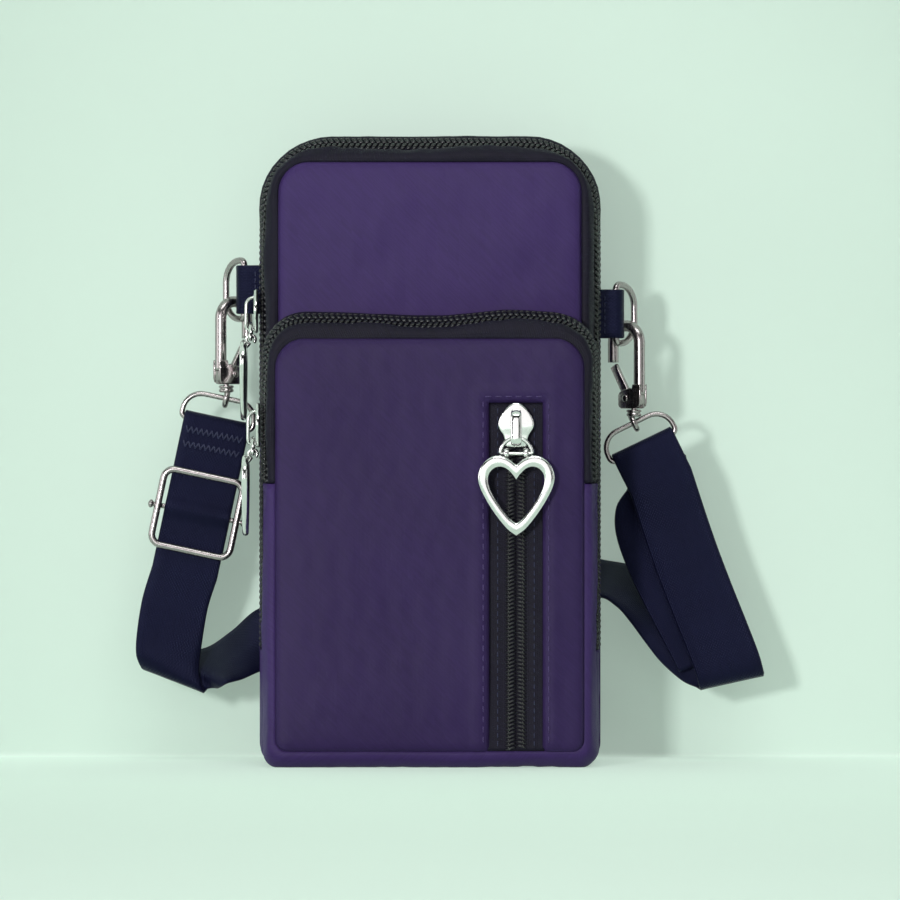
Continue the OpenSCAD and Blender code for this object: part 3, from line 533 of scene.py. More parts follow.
def blank(name, values=None):
    """A new material with its shader and the coordinates to feed it."""
    made = bpy.data.materials.new(name)
    made.use_nodes = True
    tree = made.node_tree
    shader = tree.nodes["Principled BSDF"]
    set_inputs(shader, values or {})
    return made, tree, shader, tree.nodes.new("ShaderNodeTexCoord").outputs


def scaled(colour, k):
    """A lighter or darker colour."""
    return tuple(min(1, c * k) for c in colour)


def tinted(colour, k, least):
    """The colour that a fibre's sheen takes: the cloth's own, much lighter."""
    return (*[min(1, c * k + least) for c in colour], 1)


def paint(shader, fac, dark, light):
    """Base colour that goes from dark to light as a value rises."""
    node = shader.id_data.nodes.new("ShaderNodeMix")
    node.data_type = "RGBA"
    node.inputs[6].default_value, node.inputs[7].default_value = (*dark, 1), (*light, 1)
    fac.to(node.inputs[0])
    Value(node.outputs[2]).to(shader.inputs["Base Color"])


def roughen(shader, value, low, high, start=0.0, end=1.0):
    """Roughness that goes from low to high while a value goes from start to end."""
    node = shader.id_data.nodes.new("ShaderNodeMapRange")
    set_inputs(node, {"From Min": start, "From Max": end, "To Min": low, "To Max": high})
    value.to(node.inputs["Value"])
    Value(node.outputs["Result"]).to(shader.inputs["Roughness"])


def emboss(shader, height, strength, depth, under=None):
    """A bump from a height, laid over another bump where one is given."""
    node = shader.id_data.nodes.new("ShaderNodeBump")
    set_inputs(node, {"Strength": strength, "Distance": depth})
    height.to(node.inputs["Height"])
    if under:
        under.to(node.inputs["Normal"])
    normal = Value(node.outputs["Normal"])
    normal.to(shader.inputs["Normal"])
    return normal


def cloth(name, colour, threads, slant, rough, sheen, shade, bump=0.25):
    """Woven cloth: threads in its height and gloss, slow changes of colour over the piece, and painted shade
    between the raised threads.
    """
    made, tree, shader, coords = blank(name, {
        "Sheen Weight": sheen, "Sheen Roughness": 0.45, "Sheen Tint": tinted(colour, 5, 0.03),
        "Specular IOR Level": 0.12})
    weave = use(tree, "Weave", coords["UV"], Threads=threads, Slant=slant)
    broad = use(tree, "Rub", coords["Object"], Size=34.0)["Broad"]
    # Colour changes at random from thread to thread and in broad patches; the weave's height adds painted
    # shade, darker between the threads and lighter on their tops
    light = (weave["Threads"] * 0.35 + broad * 0.75).clamped_sum(weave["Height"] * 0.2)
    paint(shader, light, scaled(colour, shade[0]), scaled(colour, shade[1]))
    roughen(shader, broad * 0.7 + weave["Threads"] * 0.3, *rough)
    soft = emboss(shader, noise(tree, coords["Object"], 120, 4), 0.35, 0.0006)
    emboss(shader, weave["Height"], bump, 0.00012, under=soft)
    return made


def satin_nylon(name, colour):
    """The pouch's outer cloth: fine threads that catch the light as satin does."""
    made = cloth(name, colour, 2600, slant=1.0, rough=(0.4, 0.52), sheen=0.1, bump=0.3, shade=(0.76, 1.26))
    made.node_tree.nodes["Principled BSDF"].inputs["Anisotropic"].default_value = 0.35
    return made


def ribbed_webbing(name, colour):
    """Strap webbing: ribs that run along it, crossed by fine weft, with painted light on its ridges and painted
    shade between them, strongest in broad rubbed patches.
    """
    made, tree, shader, coords = blank(name, {
        "Sheen Weight": 0.04, "Sheen Tint": (0.3, 0.36, 0.7, 1), "Specular IOR Level": 0.2,
        "Specular Tint": (0.42, 0.46, 0.9, 1)})
    # The second cloth coordinate runs across the webbing, the first along it
    along, across = parts_of(tree, coords["UV"])[:2]
    rib = (across * (TURN / 0.00095)).reckon("SINE")
    pick = (along * (TURN / 0.0011) + rib.reckon("SIGN") * 1.5).reckon("SINE")
    height = rib.reckon("ABSOLUTE") * 0.6 + pick * 0.3
    broad = use(tree, "Rub", coords["Object"], Size=55.0)["Broad"]
    threads = noise(tree, stretched(tree, coords["UV"], (0.35, 6.0, 1.0)), 420, 3)
    # The ribs' height goes into the colour: painted light on their tops and painted shade between them, with
    # the thread streaks, all scaled by broad patches
    light = (threads + height * 0.5).reckon("MULTIPLY", broad + 0.25, clamp=True)
    paint(shader, light, scaled(colour, 0.6), scaled(colour, 1.9))
    roughen(shader, threads, 0.26, 0.42)
    emboss(shader, height, 0.55, 0.00022)
    return made


def moulded_coil(name, colour):
    """The zips' nylon coils, slightly glossy, with uneven gloss and fine lighter and darker spots."""
    made, tree, shader, coords = blank(name)
    fine, broad = noise(tree, coords["Object"], 900, 3), noise(tree, coords["Object"], 60, 2)
    paint(shader, fine, scaled(colour, 0.7), scaled(colour, 2.2))
    roughen(shader, broad, 0.22, 0.46)
    emboss(shader, fine, 0.2, 0.0001)
    return made


def twisted_thread(name, colour):
    """Sewing thread, with its twist in the height, and painted shade and light of the twist in the colour."""
    made, tree, shader, coords = blank(name, {
        "Roughness": 0.5, "Sheen Weight": 0.2, "Sheen Tint": tinted(colour, 8, 0.02)})
    wave = tree.nodes.new("ShaderNodeTexWave")
    wave.wave_type, wave.bands_direction = "BANDS", "DIAGONAL"
    set_inputs(wave, {"Scale": 900, "Distortion": 1.5})
    tree.links.new(coords["Object"], wave.inputs["Vector"])
    twist = Value(wave.outputs["Fac"])
    # The twist's bands also make its bump: in the colour they are painted shade in its grooves and painted
    # light on its crests
    paint(shader, twist, scaled(colour, 0.6), scaled(colour, 1.4))
    emboss(shader, twist, 0.5, 0.0001)
    return made


def polished_nickel(name, colour, rough):
    """Plated nickel with hairlines, a little haze and darker plating where it was handled."""
    made, tree, shader, coords = blank(name, {"Metallic": 1.0})
    marks = use(tree, "Handling", coords["Object"])
    paint(shader, marks["Haze"], scaled(colour, 0.86), scaled(colour, 1.04))
    roughen(shader, marks["Haze"] * 0.6 + marks["Lines"] * 0.4, rough * 0.7, rough * 1.7, start=0.3, end=0.75)
    emboss(shader, marks["Lines"], 0.05, 0.00005)
    return made


def settings():
    return bpy.context.scene.pouch_cloth


def finish_of(name):
    """One of the pouch's materials, made on first use from the settings in the panel."""
    s, metal = settings(), bpy.context.scene.pouch_metal
    nylon, tape = tuple(s.nylon), tuple(s.tape)
    makers = {
        "satin_nylon": (satin_nylon, nylon),
        # A darker copy of the satin nylon for the front panel: painted shade
        "front_nylon": (satin_nylon, scaled(nylon, 0.68)),
        "ribbed_webbing": (ribbed_webbing, tuple(s.webbing)),
        "zip_tape": (cloth, tape, 1500, 0.5, (0.45, 0.66), 0.1, (0.65, 1.7), 0.6),
        "pocket_lining": (cloth, scaled(tape, 1.3), 1900, 0.0, (0.5, 0.7), 0.08, (0.7, 1.4)),
        "moulded_coil": (moulded_coil, tuple(s.coils)),
        "purple_thread": (twisted_thread, scaled(nylon, 1.15)),
        "dark_thread": (twisted_thread, (0.02, 0.023, 0.062)),
        "zip_thread": (twisted_thread, (0.045, 0.045, 0.042)),
        "polished_nickel": (polished_nickel, tuple(metal.nickel), metal.polish),
        "dark_nickel": (polished_nickel, tuple(metal.dark), metal.polish * 1.9),
    }
    make, *values = makers[name]
    return bpy.data.materials.get(name) or make(name, *values)


# ---------------------------------------------------------------- cloth pieces


GRID_STEP = 1.25
SWELL_REACH, CREASE_SIZE, WRINKLE_SIZE = 26, 24, 8
PUCKER_PITCH = 3


def pucker(place):
    """How strongly the sewing pulls the cloth in: between 0 and 1, once for each of its stitches."""
    return 0.5 + 0.5 * np.cos(place * TURN / PUCKER_PITCH)


def panel_lines(hw, z0, z1, rt, rb, hole, inner):
    """Where the columns and rows of a panel's grid lie; its corners and its opening fall on lines."""
    stops = {-hw, -inner, inner, hw} | ({hole[0], hole[1], hole[0] - 1.2, hole[1] + 1.2} if hole else set())
    cols = []
    for a, b in zip(sorted(stops), sorted(stops)[1:]):
        cols += line((a, 0), (b, 0), max(1, int(round((b - a) / GRID_STEP))))
    levels = sorted({z0, z0 + rb, z1 - rt, z1} | ({hole[3]} if hole else set()))
    rows = []
    for a, b in zip(levels, levels[1:]):
        n = max(6, int(round((b - a) / GRID_STEP)))
        for k in range(n):
            t = k / n
            if a == z0:
                t = 1 - math.cos(t * math.pi / 2)
            elif b == z1:
                t = math.sin(t * math.pi / 2)
            rows.append(a + (b - a) * t)
    return np.array([c[0] for c in cols] + [hw]), np.array(rows + [z1])


def panel(hw, z0, z1, rt, rb, face_y, outward, crown, hole=None, rolled=1.3, seed=0, thick=1.2):
    """A flat panel that swells in the middle and turns in at its seam and at its opening, if it has one.

    The grid it returns last is its outer surface.
    """
    s = settings()
    inner = hw - max(rt, rb) - 0.6
    cols, rows = panel_lines(hw, z0, z1, rt, rb, hole, inner)
    z, x = np.meshgrid(rows, cols, indexing="ij")
    corner = np.where(z > z1 - rt, rt - np.sqrt(np.maximum(rt ** 2 - (z - z1 + rt) ** 2, 0)),
                      np.where(z < z0 + rb, rb - np.sqrt(np.maximum(rb ** 2 - (z0 + rb - z) ** 2, 0)), 0))
    stretch = inner + (np.abs(x) - inner) * (hw - corner - inner) / (hw - inner)
    x = np.where(np.abs(x) > inner, np.sign(x) * stretch, x)
    d = inside(x, z, hw, z0, z1, rt, rb)
    edge = 1 - np.sqrt(np.clip(1 - (1 - np.clip(d / (s.roll / MM), 0, 1)) ** 2, 0, 1))
    swell = 1 - (1 - np.clip(d / SWELL_REACH, 0, 1)) ** 2
    crease, first = s.creases / MM, s.seed + seed
    lift = crown * swell - rolled * edge + crease * smoothstep(d, 1, 9) * ripple(x, z, CREASE_SIZE, first)
    lift += 0.35 * crease * smoothstep(d, 0.5, 3) * ripple(x * 1.4, z, WRINKLE_SIZE, first + 1)
    keep = None
    if hole:
        x0, x1, _, high = hole
        gap = np.maximum(np.maximum(x0 - x, x - x1), z - high)
        lift -= 1.0 * np.exp(-(np.clip(gap, 0, 9) / 0.75) ** 1.4) * (z < high + 5)
        lift += 0.28 * bell(gap, 3.2, 1.5) * (z < high + 5)
        lift -= 0.22 * (bell(gap, 2.1, 0.5) * pucker(z) * (z < high + 3))

        def keep(i, j):
            mx, mz = (x[i, j] + x[i + 1, j + 1]) / 2, (z[i, j] + z[i + 1, j + 1]) / 2
            return not (x0 < mx < x1 and mz < high)

    lift -= 0.12 * (bell(d, 2.2, 0.5) * pucker(x + z))
    grid = np.stack([x, face_y + outward * lift, z], axis=2)
    return *shell(grid, thick, flip=outward < 0, keep=keep), grid


def surface_y(grid, x, z):
    """Depth of a panel's surface at a place, from its nearest grid point."""
    i = np.argmin((grid[..., 0] - x) ** 2 + (grid[..., 2] - z) ** 2)
    return grid[..., 1].ravel()[i]


def on_surface(grid, places):
    """Places in X and Z laid on a panel's surface."""
    return np.array([(x, surface_y(grid, x, z), z) for x, z in places])


def resample(points, count):
    """count + 1 points along a soft curve through the given ones, evenly spread."""
    soft = smooth_line(points, 0.4)
    far = lengths(soft)
    return at_length(soft, far, np.linspace(0, far[-1], count + 1))


def band(rails, across=12, creases=1.0, seed=0, zip_of=None, fold=None, thick=0.9):
    """A strip of cloth round the pouch through rails, each a path and its depth, with soft turns between.

    A fold is its place across the strip, its width and its depth.
    """
    s = settings()
    paths = np.array([[(p[0], y, p[1]) for p in path] for path, y in rails])
    grid = np.stack([resample(paths[:, i], across) for i in range(paths.shape[1])])
    n = grid_normals(grid)
    along = lengths(grid[:, across // 2])[:, None]
    side = np.linspace(0, 1, grid.shape[1])[None, :]
    fade = np.sin(np.pi * side) ** 0.7
    deep = creases * s.creases / MM * fade * (ripple(along * 0.6, side * 30, 16, s.seed + seed)
                                              + 0.4 * ripple(along, side * 12, 6, s.seed + seed + 1))
    if fold:
        place, width, depth = fold
        deep = deep - depth * bell(side, place + 0.05 * np.sin(along / 21), width)
    out = np.sign(((grid - grid.mean(axis=(0, 1))) * n).sum(axis=2).mean())
    grid = grid + n * out * deep[..., None]
    if zip_of:
        grid = zip_turned(grid, zip_of)
    return shell(grid, thick, flip=out < 0)


def stitches(points, normals, length=1.9, radius=0.2, pitch=None, sink=0.05):
    """A row of stitches lying along a line on a surface, each a thread that dips in at both ends."""
    pitch = pitch or settings().stitch_pitch / MM
    pts = np.asarray(points, float)
    far = lengths(pts)
    nrm = np.broadcast_to(np.asarray(normals, float), pts.shape)
    parts = []
    for k in range(int(far[-1] / pitch)):
        start = k * pitch + pitch * 0.2
        thread = []
        for t in (0, 0.12, 0.32, 0.5, 0.68, 0.88, 1):
            p, n = (at_length(a, far, start + t * length) for a in (pts, nrm))
            dip = sink + (0.25 if t in (0, 1) else 0)
            thread.append(p + n * (radius * 1.25 * math.sin(math.pi * t) ** 0.5 - dip))
        parts.append(tube(thread, radius, sides=6))
    return joined(parts)


def outline_stitches(grid, hw, z0, z1, rt, rb, inset, outward, **kw):
    """Stitches round a panel, a little inside its seam."""
    path = ring(hw - inset, z0 + inset, z1 - inset, max(rt - inset, 0.5), max(rb - inset, 0.5))
    return stitches(on_surface(grid, np.vstack([path, path[:1]])), (0, outward, 0), **kw)


# One loop of a coil, from the tape side to its head: place across the row, thickness, height
COIL_STATIONS = ((-0.5, 0.45, 0.1), (-0.44, 0.72, 0.42), (-0.2, 0.74, 0.55), (0.1, 0.76, 0.58),
                 (0.34, 0.95, 0.6), (0.46, 0.8, 0.5), (0.5, 0.35, 0.35))


def coil_template(width, height, pitch, sides=8):
    """One loop of a coil: a thread across the row that dips at the tape side and has a head at the other."""
    verts = []
    for b, size, mid in COIL_STATIONS:
        for w in (TURN * k / sides for k in range(sides)):
            verts.append((math.cos(w) * size * pitch * 0.47 + b * pitch * 0.5, b * width,
                          height * mid + math.sin(w) * size * height * 0.48))
    return np.array(verts), ring_faces(len(COIL_STATIONS), sides, flip=True)


def along_path(path, step, shift=0.0):
    """Places, directions and outward directions at even steps along a path seen from the front."""
    far = lengths(path)
    count = int(far[-1] / step)
    step = far[-1] / count
    out = []
    for k in range(count):
        w = (k + 0.5 + shift) * step
        if w > far[-1] - step * 0.3:
            break
        p, ahead, behind = (at_length(path, far, v) for v in (w, min(w + 0.3, far[-1]), w - 0.3))
        t = (ahead - behind) / np.linalg.norm(ahead - behind)
        out.append((p, t, np.array([-t[1], t[0]])))
    return out


def coil_row(hw, z0, z1, r, y_head, y_foot, shift, zip_of):
    """One row of a long zip's coil, with the thread that sews it down."""
    pitch = settings().coil_pitch / MM
    width = abs(y_foot - y_head)
    base = arch(hw - COIL_H, z0, z1 - COIL_H, r - COIL_H, side=60, top=90)
    template, loop = coil_template(width, COIL_H, pitch)
    coils, thread = [], []
    middle, turn = (y_head + y_foot) / 2, 1 if y_head > y_foot else -1
    for p, t, out in along_path(base, pitch, shift):
        a, b, c = template[:, :1], template[:, 1], template[:, 2:]
        flat = p + a * t + c * out
        verts = np.stack([flat[:, 0], middle + turn * b, flat[:, 1]], axis=1)
        coils.append((verts, [f[::-1] for f in loop] if turn < 0 else loop))
        dots = []
        for u, v, lift in ((-0.3, -0.06, 0.98), (0, 0.0, 1.12), (0.3, 0.06, 0.98)):
            q = p + t * u * pitch + out * COIL_H * lift
            dots.append((q[0], middle - turn * (0.16 * width + v), q[1]))
        thread.append(tube(dots, 0.13, sides=5))
    return [(zip_turned(verts, zip_of), faces) for verts, faces in (joined(coils), joined(thread))]


# ---------------------------------------------------------------- webbing and hardware places

LEFT, RIGHT = -1, 1
TAB_Z = {LEFT: sum(span("left_tab", 2)) / 2, RIGHT: sum(span("right_tab", 2)) / 2}
TAB_Y = sum(span("left_tab", 1)) / 2
TAB_H = span("left_tab", 2)[1] - span("left_tab", 2)[0]
TILT = {LEFT: 12.0, RIGHT: 26.0}
SHIFT = {LEFT: 1.3, RIGHT: -0.5}
BAR_X = HALF_W + 4.7
DEE_TURN, DEE_H, DEE_R, DEE_STUB, DEE_WIRE = 50.0, 17.6, 6.5, 2.3, 2.0
HOOK_W, HOOK_H, HOOK_BAR, HOOK_T = 13.4, 26.6, 3.3, 3.6
GATE_T, RING_WIRE, RING_LEN, RING_H = 1.6, 1.6, 23.4, 8.0
EYE_DROP = 0.3 + 1.9 + 1.1 + 0.98
REACH = DEE_STUB + 0.415 * DEE_R
HOOK_X = BAR_X + REACH * math.cos(math.radians(DEE_TURN))
HOOK_Y = TAB_Y + REACH * math.sin(math.radians(DEE_TURN))
SAG = DEE_H / 2 - DEE_R + math.sqrt(DEE_R ** 2 - (REACH + HOOK_T / 2 - DEE_STUB) ** 2)
HOOK_DROP = SAG - 0.75 * DEE_WIRE - 0.3 + HOOK_H - HOOK_BAR
SHAFT_U = HOOK_W * 0.22
SWIVEL_X = HOOK_X + SHAFT_U * math.sin(math.radians(DEE_TURN))
SWIVEL_Y = HOOK_Y - SHAFT_U * math.cos(math.radians(DEE_TURN))


def turned(points, degrees):
    """Points turned about the upright axis."""
    c, s = polar(1, degrees)
    p = np.asarray(points, float)
    return np.stack([p[..., 0] * c - p[..., 1] * s, p[..., 0] * s + p[..., 1] * c, p[..., 2]], axis=-1)


def to_side(points, side):
    """Points made for the right side, moved to the side they are for."""
    p = np.array(points, float)
    p[..., 0] *= side
    return p


def to_hook(points, side):
    """From the hook's own plane to its place on one side."""
    return to_side(turned(points, DEE_TURN - 90) + (HOOK_X, HOOK_Y, TAB_Z[side] - HOOK_DROP), side)


def to_dee(points, side):
    """From the D-ring's own plane to its place on one side."""
    return to_side(turned(points, DEE_TURN) + (BAR_X, TAB_Y, TAB_Z[side] - DEE_H / 2), side)


def to_ring(points, side):
    """From the strap ring's frame: along it, behind it and above its lower wire."""
    c, s = polar(1, TILT[side])
    p = np.asarray(points, float)
    u, w = SHIFT[side] + p[..., 0], p[..., 2] - RING_H
    base_z = TAB_Z[side] - HOOK_DROP - EYE_DROP
    q = np.stack([SWIVEL_X + u * c - w * s, SWIVEL_Y + p[..., 1], base_z + u * s + w * c], axis=-1)
    return to_side(q, side)


def mirrored(verts_faces, side):
    """Faces turned over where a piece was mirrored to the left."""
    verts, faces = verts_faces
    return (verts, [f[::-1] for f in faces]) if side == LEFT else (verts, faces)


def wire_outline(w, h, radii):
    """The middle of a bent wire's closed loop, from its lower left corner, with the radius of each corner."""
    a, b, c, d = radii
    pts = (arc(a, a, a, 180, 270, 8) + arc(w - b, b, b, 270, 360, 8) + arc(w - c, h - c, c, 0, 90, 8)
           + arc(d, h - d, d, 90, 180, 8))
    return np.array([(x, 0, z) for x, z in densified(pts, 1.6)])


WRAP_R = RING_WIRE / 2 + 0.3 + WEB_T / 2
ADJ_DROP, ADJ_W, ADJ_H, ADJ_WIRE, ADJ_BAR = 27.6, 24.2, 23.2, 2.1, 1.6
FOLD_ANGLES = (0, 30, 60, 90, 120, 150, 180)
# The turn's top among the stations of loop_stations
TURN_TOP = 7
BALL_SIZES = (0.62, 0.62, 0.64, 0.66, 1.0, 1.26, 1.28, 1.0, 0.3)


def loop_stations(side, z0, z1):
    """The webbing's turn over its ring: middles and half widths. The left one swells at the adjuster's bar."""
    c, s = polar(1, TILT[side])
    half = WEB_W / 2 * np.array([c, 0, side * s])
    swell = 1.3 if side == LEFT else 0
    places = [(0, WRAP_R, z0 * k) for k in (1, 0.75, 0.5, 0.25)]
    places += [(0, *polar(WRAP_R, t)) for t in FOLD_ANGLES]
    for z in z1 * np.arange(0.06, 1.01, 0.03):
        crinkle = 0.4 * swell * math.sin(z * 1.7) * bell(z, -8, 6)
        places.append((0, -WRAP_R - swell * bell(z, 0.6 - ADJ_DROP, 2.5) - max(crinkle, 0), z))
    return [(to_ring(np.array(p, float), side), half) for p in places]


def laid(stations):
    """Stations as (middle, direction across), each direction brought to half the webbing's width."""
    return [(np.array(p, float), np.array(d, float) / np.linalg.norm(d) * WEB_W / 2) for p, d in stations]


LEFT_LAID = laid([
    ((-76.8, 8.1, 48), (1, 0.02, -0.17)), ((-78.5, 8.1, 38), (0.98, 0.1, -0.2)),
    ((-79.2, 8.2, 30.5), (0.95, 0.2, -0.27)), ((-78.4, 8.7, 26.4), (0.94, 0.08, -0.34)),
    ((-77.2, 10.4, 24.7), (0.93, 0, -0.36)), ((-76.4, 12.0, 25.8), (0.92, -0.03, -0.39)),
    ((-73.6, 12.8, 27.2), (0.84, -0.15, -0.5)), ((-69.4, 13.4, 27.9), (0.62, -0.58, -0.53)),
    ((-64.4, 14.1, 28.9), (0.34, -0.8, -0.5)), ((-58.5, 15.0, 32.0), (0.14, -0.66, -0.7)),
    ((-50, 15.8, 37), (0.06, -0.3, -0.95)), ((-38, 14.9, 36), (0, -0.1, -1)),
    ((-20, 13.9, 30), (0, 0, -1)), ((0, 13.5, 23), (0, 0, -1)),
    ((20, 13.5, 16), (0, 0, -1)), ((36, 13.5, 11.4), (0, 0, -1)),
    ((42, 13.5, 10.1), (0, 0, -1))])
# On the right the webbing's end hangs behind the ring, and the rest folds up at the bottom and runs back
RIGHT_END = laid([
    ((84.5, 11.6, 30.5), (0.93, 0, 0.36)), ((80.4, 11.6, 38.5), (0.93, 0, 0.36)),
    ((75.2, 11.6, 48.5), (0.93, 0, 0.36)), ((69.6, 11.6, 60), (0.93, 0, 0.36)),
    ((65.6, 11.6, 71.5), (0.95, 0, 0.32)), ((65.4, 11.6, 80.5), (0.93, 0, 0.38))])
RIGHT_LAID = laid([
    ((73.8, 8.1, 71.5), (0.93, 0, 0.37)), ((77.6, 8.1, 60.5), (0.94, 0, 0.34)),
    ((81.8, 8.1, 49.5), (0.94, 0, 0.34)), ((86.2, 8.1, 38.5), (0.94, 0, 0.34)),
    ((89.4, 8.2, 30.2), (0.95, 0, 0.3)), ((90.7, 9.0, 25.8), (0.97, 0, 0.24)),
    ((91.0, 10.8, 24.2), (0.975, 0, 0.22)), ((89.8, 12.7, 25.2), (0.96, 0.03, 0.27)),
    ((85.4, 14.6, 28), (0.92, 0.1, 0.38)), ((78.5, 15.6, 34.5), (0.85, 0.2, 0.5)),
    ((72, 16.8, 42), (0.7, 0.36, 0.62)), ((66, 18.2, 48.3), (0.55, 0.55, 0.62)),
    ((60, 19.6, 52.5), (0.36, 0.72, 0.56)), ((52.7, 20.6, 54.8), (0.2, 0.83, 0.52)),
    ((42, 22, 53.5), (0.06, 0.6, 0.8)), ((28, 25, 48), (0, 0.3, 0.95)),
    ((10, 29.3, 37), (0, 0.1, 1)), ((-10, 31.3, 25), (0, 0, 1)),
    ((-30, 31.5, 14), (0, 0, 1)), ((-42, 31.5, 10.1), (0, 0, 1))])
BUNDLE_X, BUNDLE_Y0, BUNDLE_Y1, BUNDLE_RUNS = 42, 13.5, 31.5, 7


# Once round the webbing's section: outer side, edge, inner side, edge
WEB_SIDE = [(-1 + 2 * k / 8) * 0.965 for k in range(9)]
WEB_SECTION = ([(-0.985, 0.62)] + [(u, 1) for u in WEB_SIDE] + [(0.985, 0.62), (1, 0), (0.985, -0.62)]
               + [(-u, -1) for u in WEB_SIDE] + [(-0.985, -0.62), (-1, 0)])


def ribbon(stations, step=1.1, width=WEB_W, seed=0):
    """Webbing through stations: a flat strip with rounded edges and a little unevenness."""
    flat = smooth_line([np.concatenate([p, d]) for p, d in stations], step)
    mid = flat[:, :3]
    half = unit(flat[:, 3:]) * width / 2
    up = unit(np.cross(unit(np.gradient(mid, axis=0)), half))
    far = lengths(mid)
    verts, uvs = [], []
    for i in range(len(mid)):
        for u, v in WEB_SECTION:
            bow = 0.08 * ripple(far[i], u * 9, 26, seed)
            selvage = 0.9 if abs(u) < 0.8 else 1.0
            verts.append(mid[i] + half[i] * u + up[i] * (v * WEB_T / 2 * selvage + bow))
            uvs.append((far[i], u * width / 2 + (40 if v < 0 else 0)))
    return verts, ring_faces(len(mid), len(WEB_SECTION), flip=True), uvs, (mid, half, up, far)


def across_stitches(line_data, places, inset=0.86, zigzag=0.9, pitch=1.5):
    """Bars of zigzag stitches across the webbing at the given lengths along it."""
    mid, half, up, far = line_data
    parts = []
    for w in places:
        p, h, u, ahead = (at_length(a, far, v) for a, v in ((mid, w), (half, w), (up, w), (mid, w + 1)))
        ahead = (ahead - p) / np.linalg.norm(ahead - p)
        count = int(2 * inset * WEB_W / 2 / (pitch / 2))
        pts = [p + h * inset * (-1 + 2 * k / count) + ahead * (zigzag if k % 2 else -zigzag) + u * WEB_T / 2
               for k in range(count + 1)]
        for a, b in zip(pts, pts[1:]):
            thread = [a + (b - a) * share + u * rise
                      for share, rise in ((0, -0.2), (0.15, 0.12), (0.5, 0.2), (0.85, 0.12), (1, -0.2))]
            parts.append(tube(thread, 0.2, sides=6))
    return joined(parts)


# ---------------------------------------------------------------- metal pieces


def bevelled(outline, y0, y1, bevel, rounds=3):
    """A plate cut from an outline given counter-clockwise in X and Z, with its edges rounded over."""
    pts = np.asarray(outline, float)
    ahead, behind = unit(np.roll(pts, -1, 0) - pts), unit(pts - np.roll(pts, 1, 0))
    out = np.stack([ahead[:, 1] + behind[:, 1], -(ahead[:, 0] + behind[:, 0])], axis=1)
    out /= np.maximum(np.linalg.norm(out, axis=1, keepdims=True), 1e-6)
    levels = []
    for k in range(rounds + 1):
        a = math.pi / 2 * k / rounds
        levels.append((bevel * (1 - math.sin(a)), y0 + bevel * (1 - math.cos(a))))
    levels += [(inset, y1 - (y - y0)) for inset, y in reversed(levels)]
    verts = [(x, y, z) for inset, y in levels for x, z in pts - out * inset]
    return np.array(verts), ring_faces(len(levels), len(pts), flip=True)


# Right halves of the heart's outlines, from the notch round to the tip, with the outer tip at the origin
HEART_OUTER = ((0, 21.1), (1.9, 22.7), (4.2, 23.75), (5.6, 24), (7.5, 23.5), (9.5, 22), (10.9, 19.8),
               (11.4, 17.3), (10.9, 14.6), (9.6, 11.8), (7.7, 8.5), (5.4, 5.2), (2.6, 1.9), (0, 0))
HEART_INNER = ((0, 16.5), (1.3, 18.3), (2.9, 19.8), (4.7, 20.4), (6.5, 19.9), (7.8, 18.5), (8.2, 16.6),
               (7.8, 14.4), (6.7, 12), (5.1, 9.5), (3.3, 7.1), (1.6, 5.1), (0, 4.0))
HEART_H, HEART_T, HEART_BACK, HEART_DROP = 24, 2.0, 1.2, 0.35
LINK_R, LINK_WIRE, EAR_R = 4.7, 1.2, 1.32


def whole_heart(half, count=34):
    """A closed outline, evenly spread, from its right half."""
    soft = smooth_line([(x, 0, z) for x, z in half], 0.15)
    far = lengths(soft)
    curve = at_length(soft, far, np.linspace(0, far[-1], count))[:, ::2]
    return np.vstack([curve, (curve * (-1, 1))[-2:0:-1]])


def heart_plate(section=16):
    """The heart's band, domed over its front and rounded over its edges, with two ears for the link's bar."""
    outer, inner = whole_heart(HEART_OUTER), whole_heart(HEART_INNER)
    y_mid = -HEART_BACK - HEART_T / 2
    verts = []
    for mid, half in zip((outer + inner) / 2, (outer - inner) / 2):
        for k in range(section):
            c, s = math.cos(TURN * k / section), math.sin(TURN * k / section)
            w, d = math.copysign(abs(c) ** 0.55, c), math.copysign(abs(s) ** 0.75, s)
            verts.append((mid[0] + half[0] * w, y_mid - HEART_T / 2 * d, mid[1] + half[1] * w))
    faces = ring_faces(len(outer), section, closed=True, flip=True)
    parts = [(np.array(verts) + (0, 0, -HEART_DROP - HEART_H), faces)]
    for x in (-LINK_R * 0.62, LINK_R * 0.62):
        root = [(x, -HEART_BACK - 0.4, -2.6), (x, -0.95, -1.9)]
        loop = [(x, *polar(EAR_R, t)) for t in range(250, -60, -20)]
        parts.append(tube(root + loop, None, sides=10, squash_to=lambda t: (0.8, 0.42)))
    return joined(parts)


def link_ring():
    """The half-round link: its arch goes through the slider's bridge and its bar carries the heart."""
    corner = 0.7
    arch_pts = [(x, 0, z) for x, z in (polar(LINK_R, t) for t in range(0, 181, 9)) if z > corner]
    left = [(-LINK_R, 0, corner * 0.6), (-LINK_R + 0.3, 0, 0.08)]
    right = [(LINK_R - 0.3, 0, 0.08), (LINK_R, 0, corner * 0.6)]
    bar = [(-LINK_R + 2 * LINK_R * k / 8, 0, 0) for k in range(1, 8)]
    return tube(arch_pts + left + bar + right, LINK_WIRE / 2, sides=14, closed=True)


SLIDER_W, SLIDER_H, SLIDER_T = 10.7, 13.2, 1.2
BRIDGE_W, BRIDGE_T, BRIDGE_GAP, BRIDGE_FOOT = 3.4, 1.1, 1.8, 1.2
FOOT_TOP = math.sqrt((LINK_R - LINK_WIRE / 2) ** 2 - (BRIDGE_W / 2) ** 2) - 0.3
SLIDER_LOW = FOOT_TOP - BRIDGE_FOOT - 0.36
# The slider's outline: share of its height, share of its half width
SLIDER_SHARES = ((0, 0.52), (0.04, 0.62), (0.16, 0.64), (0.28, 0.72), (0.4, 0.92), (0.5, 1), (0.6, 0.97),
                 (0.72, 0.84), (0.84, 0.64), (0.94, 0.38), (1, 0.14))


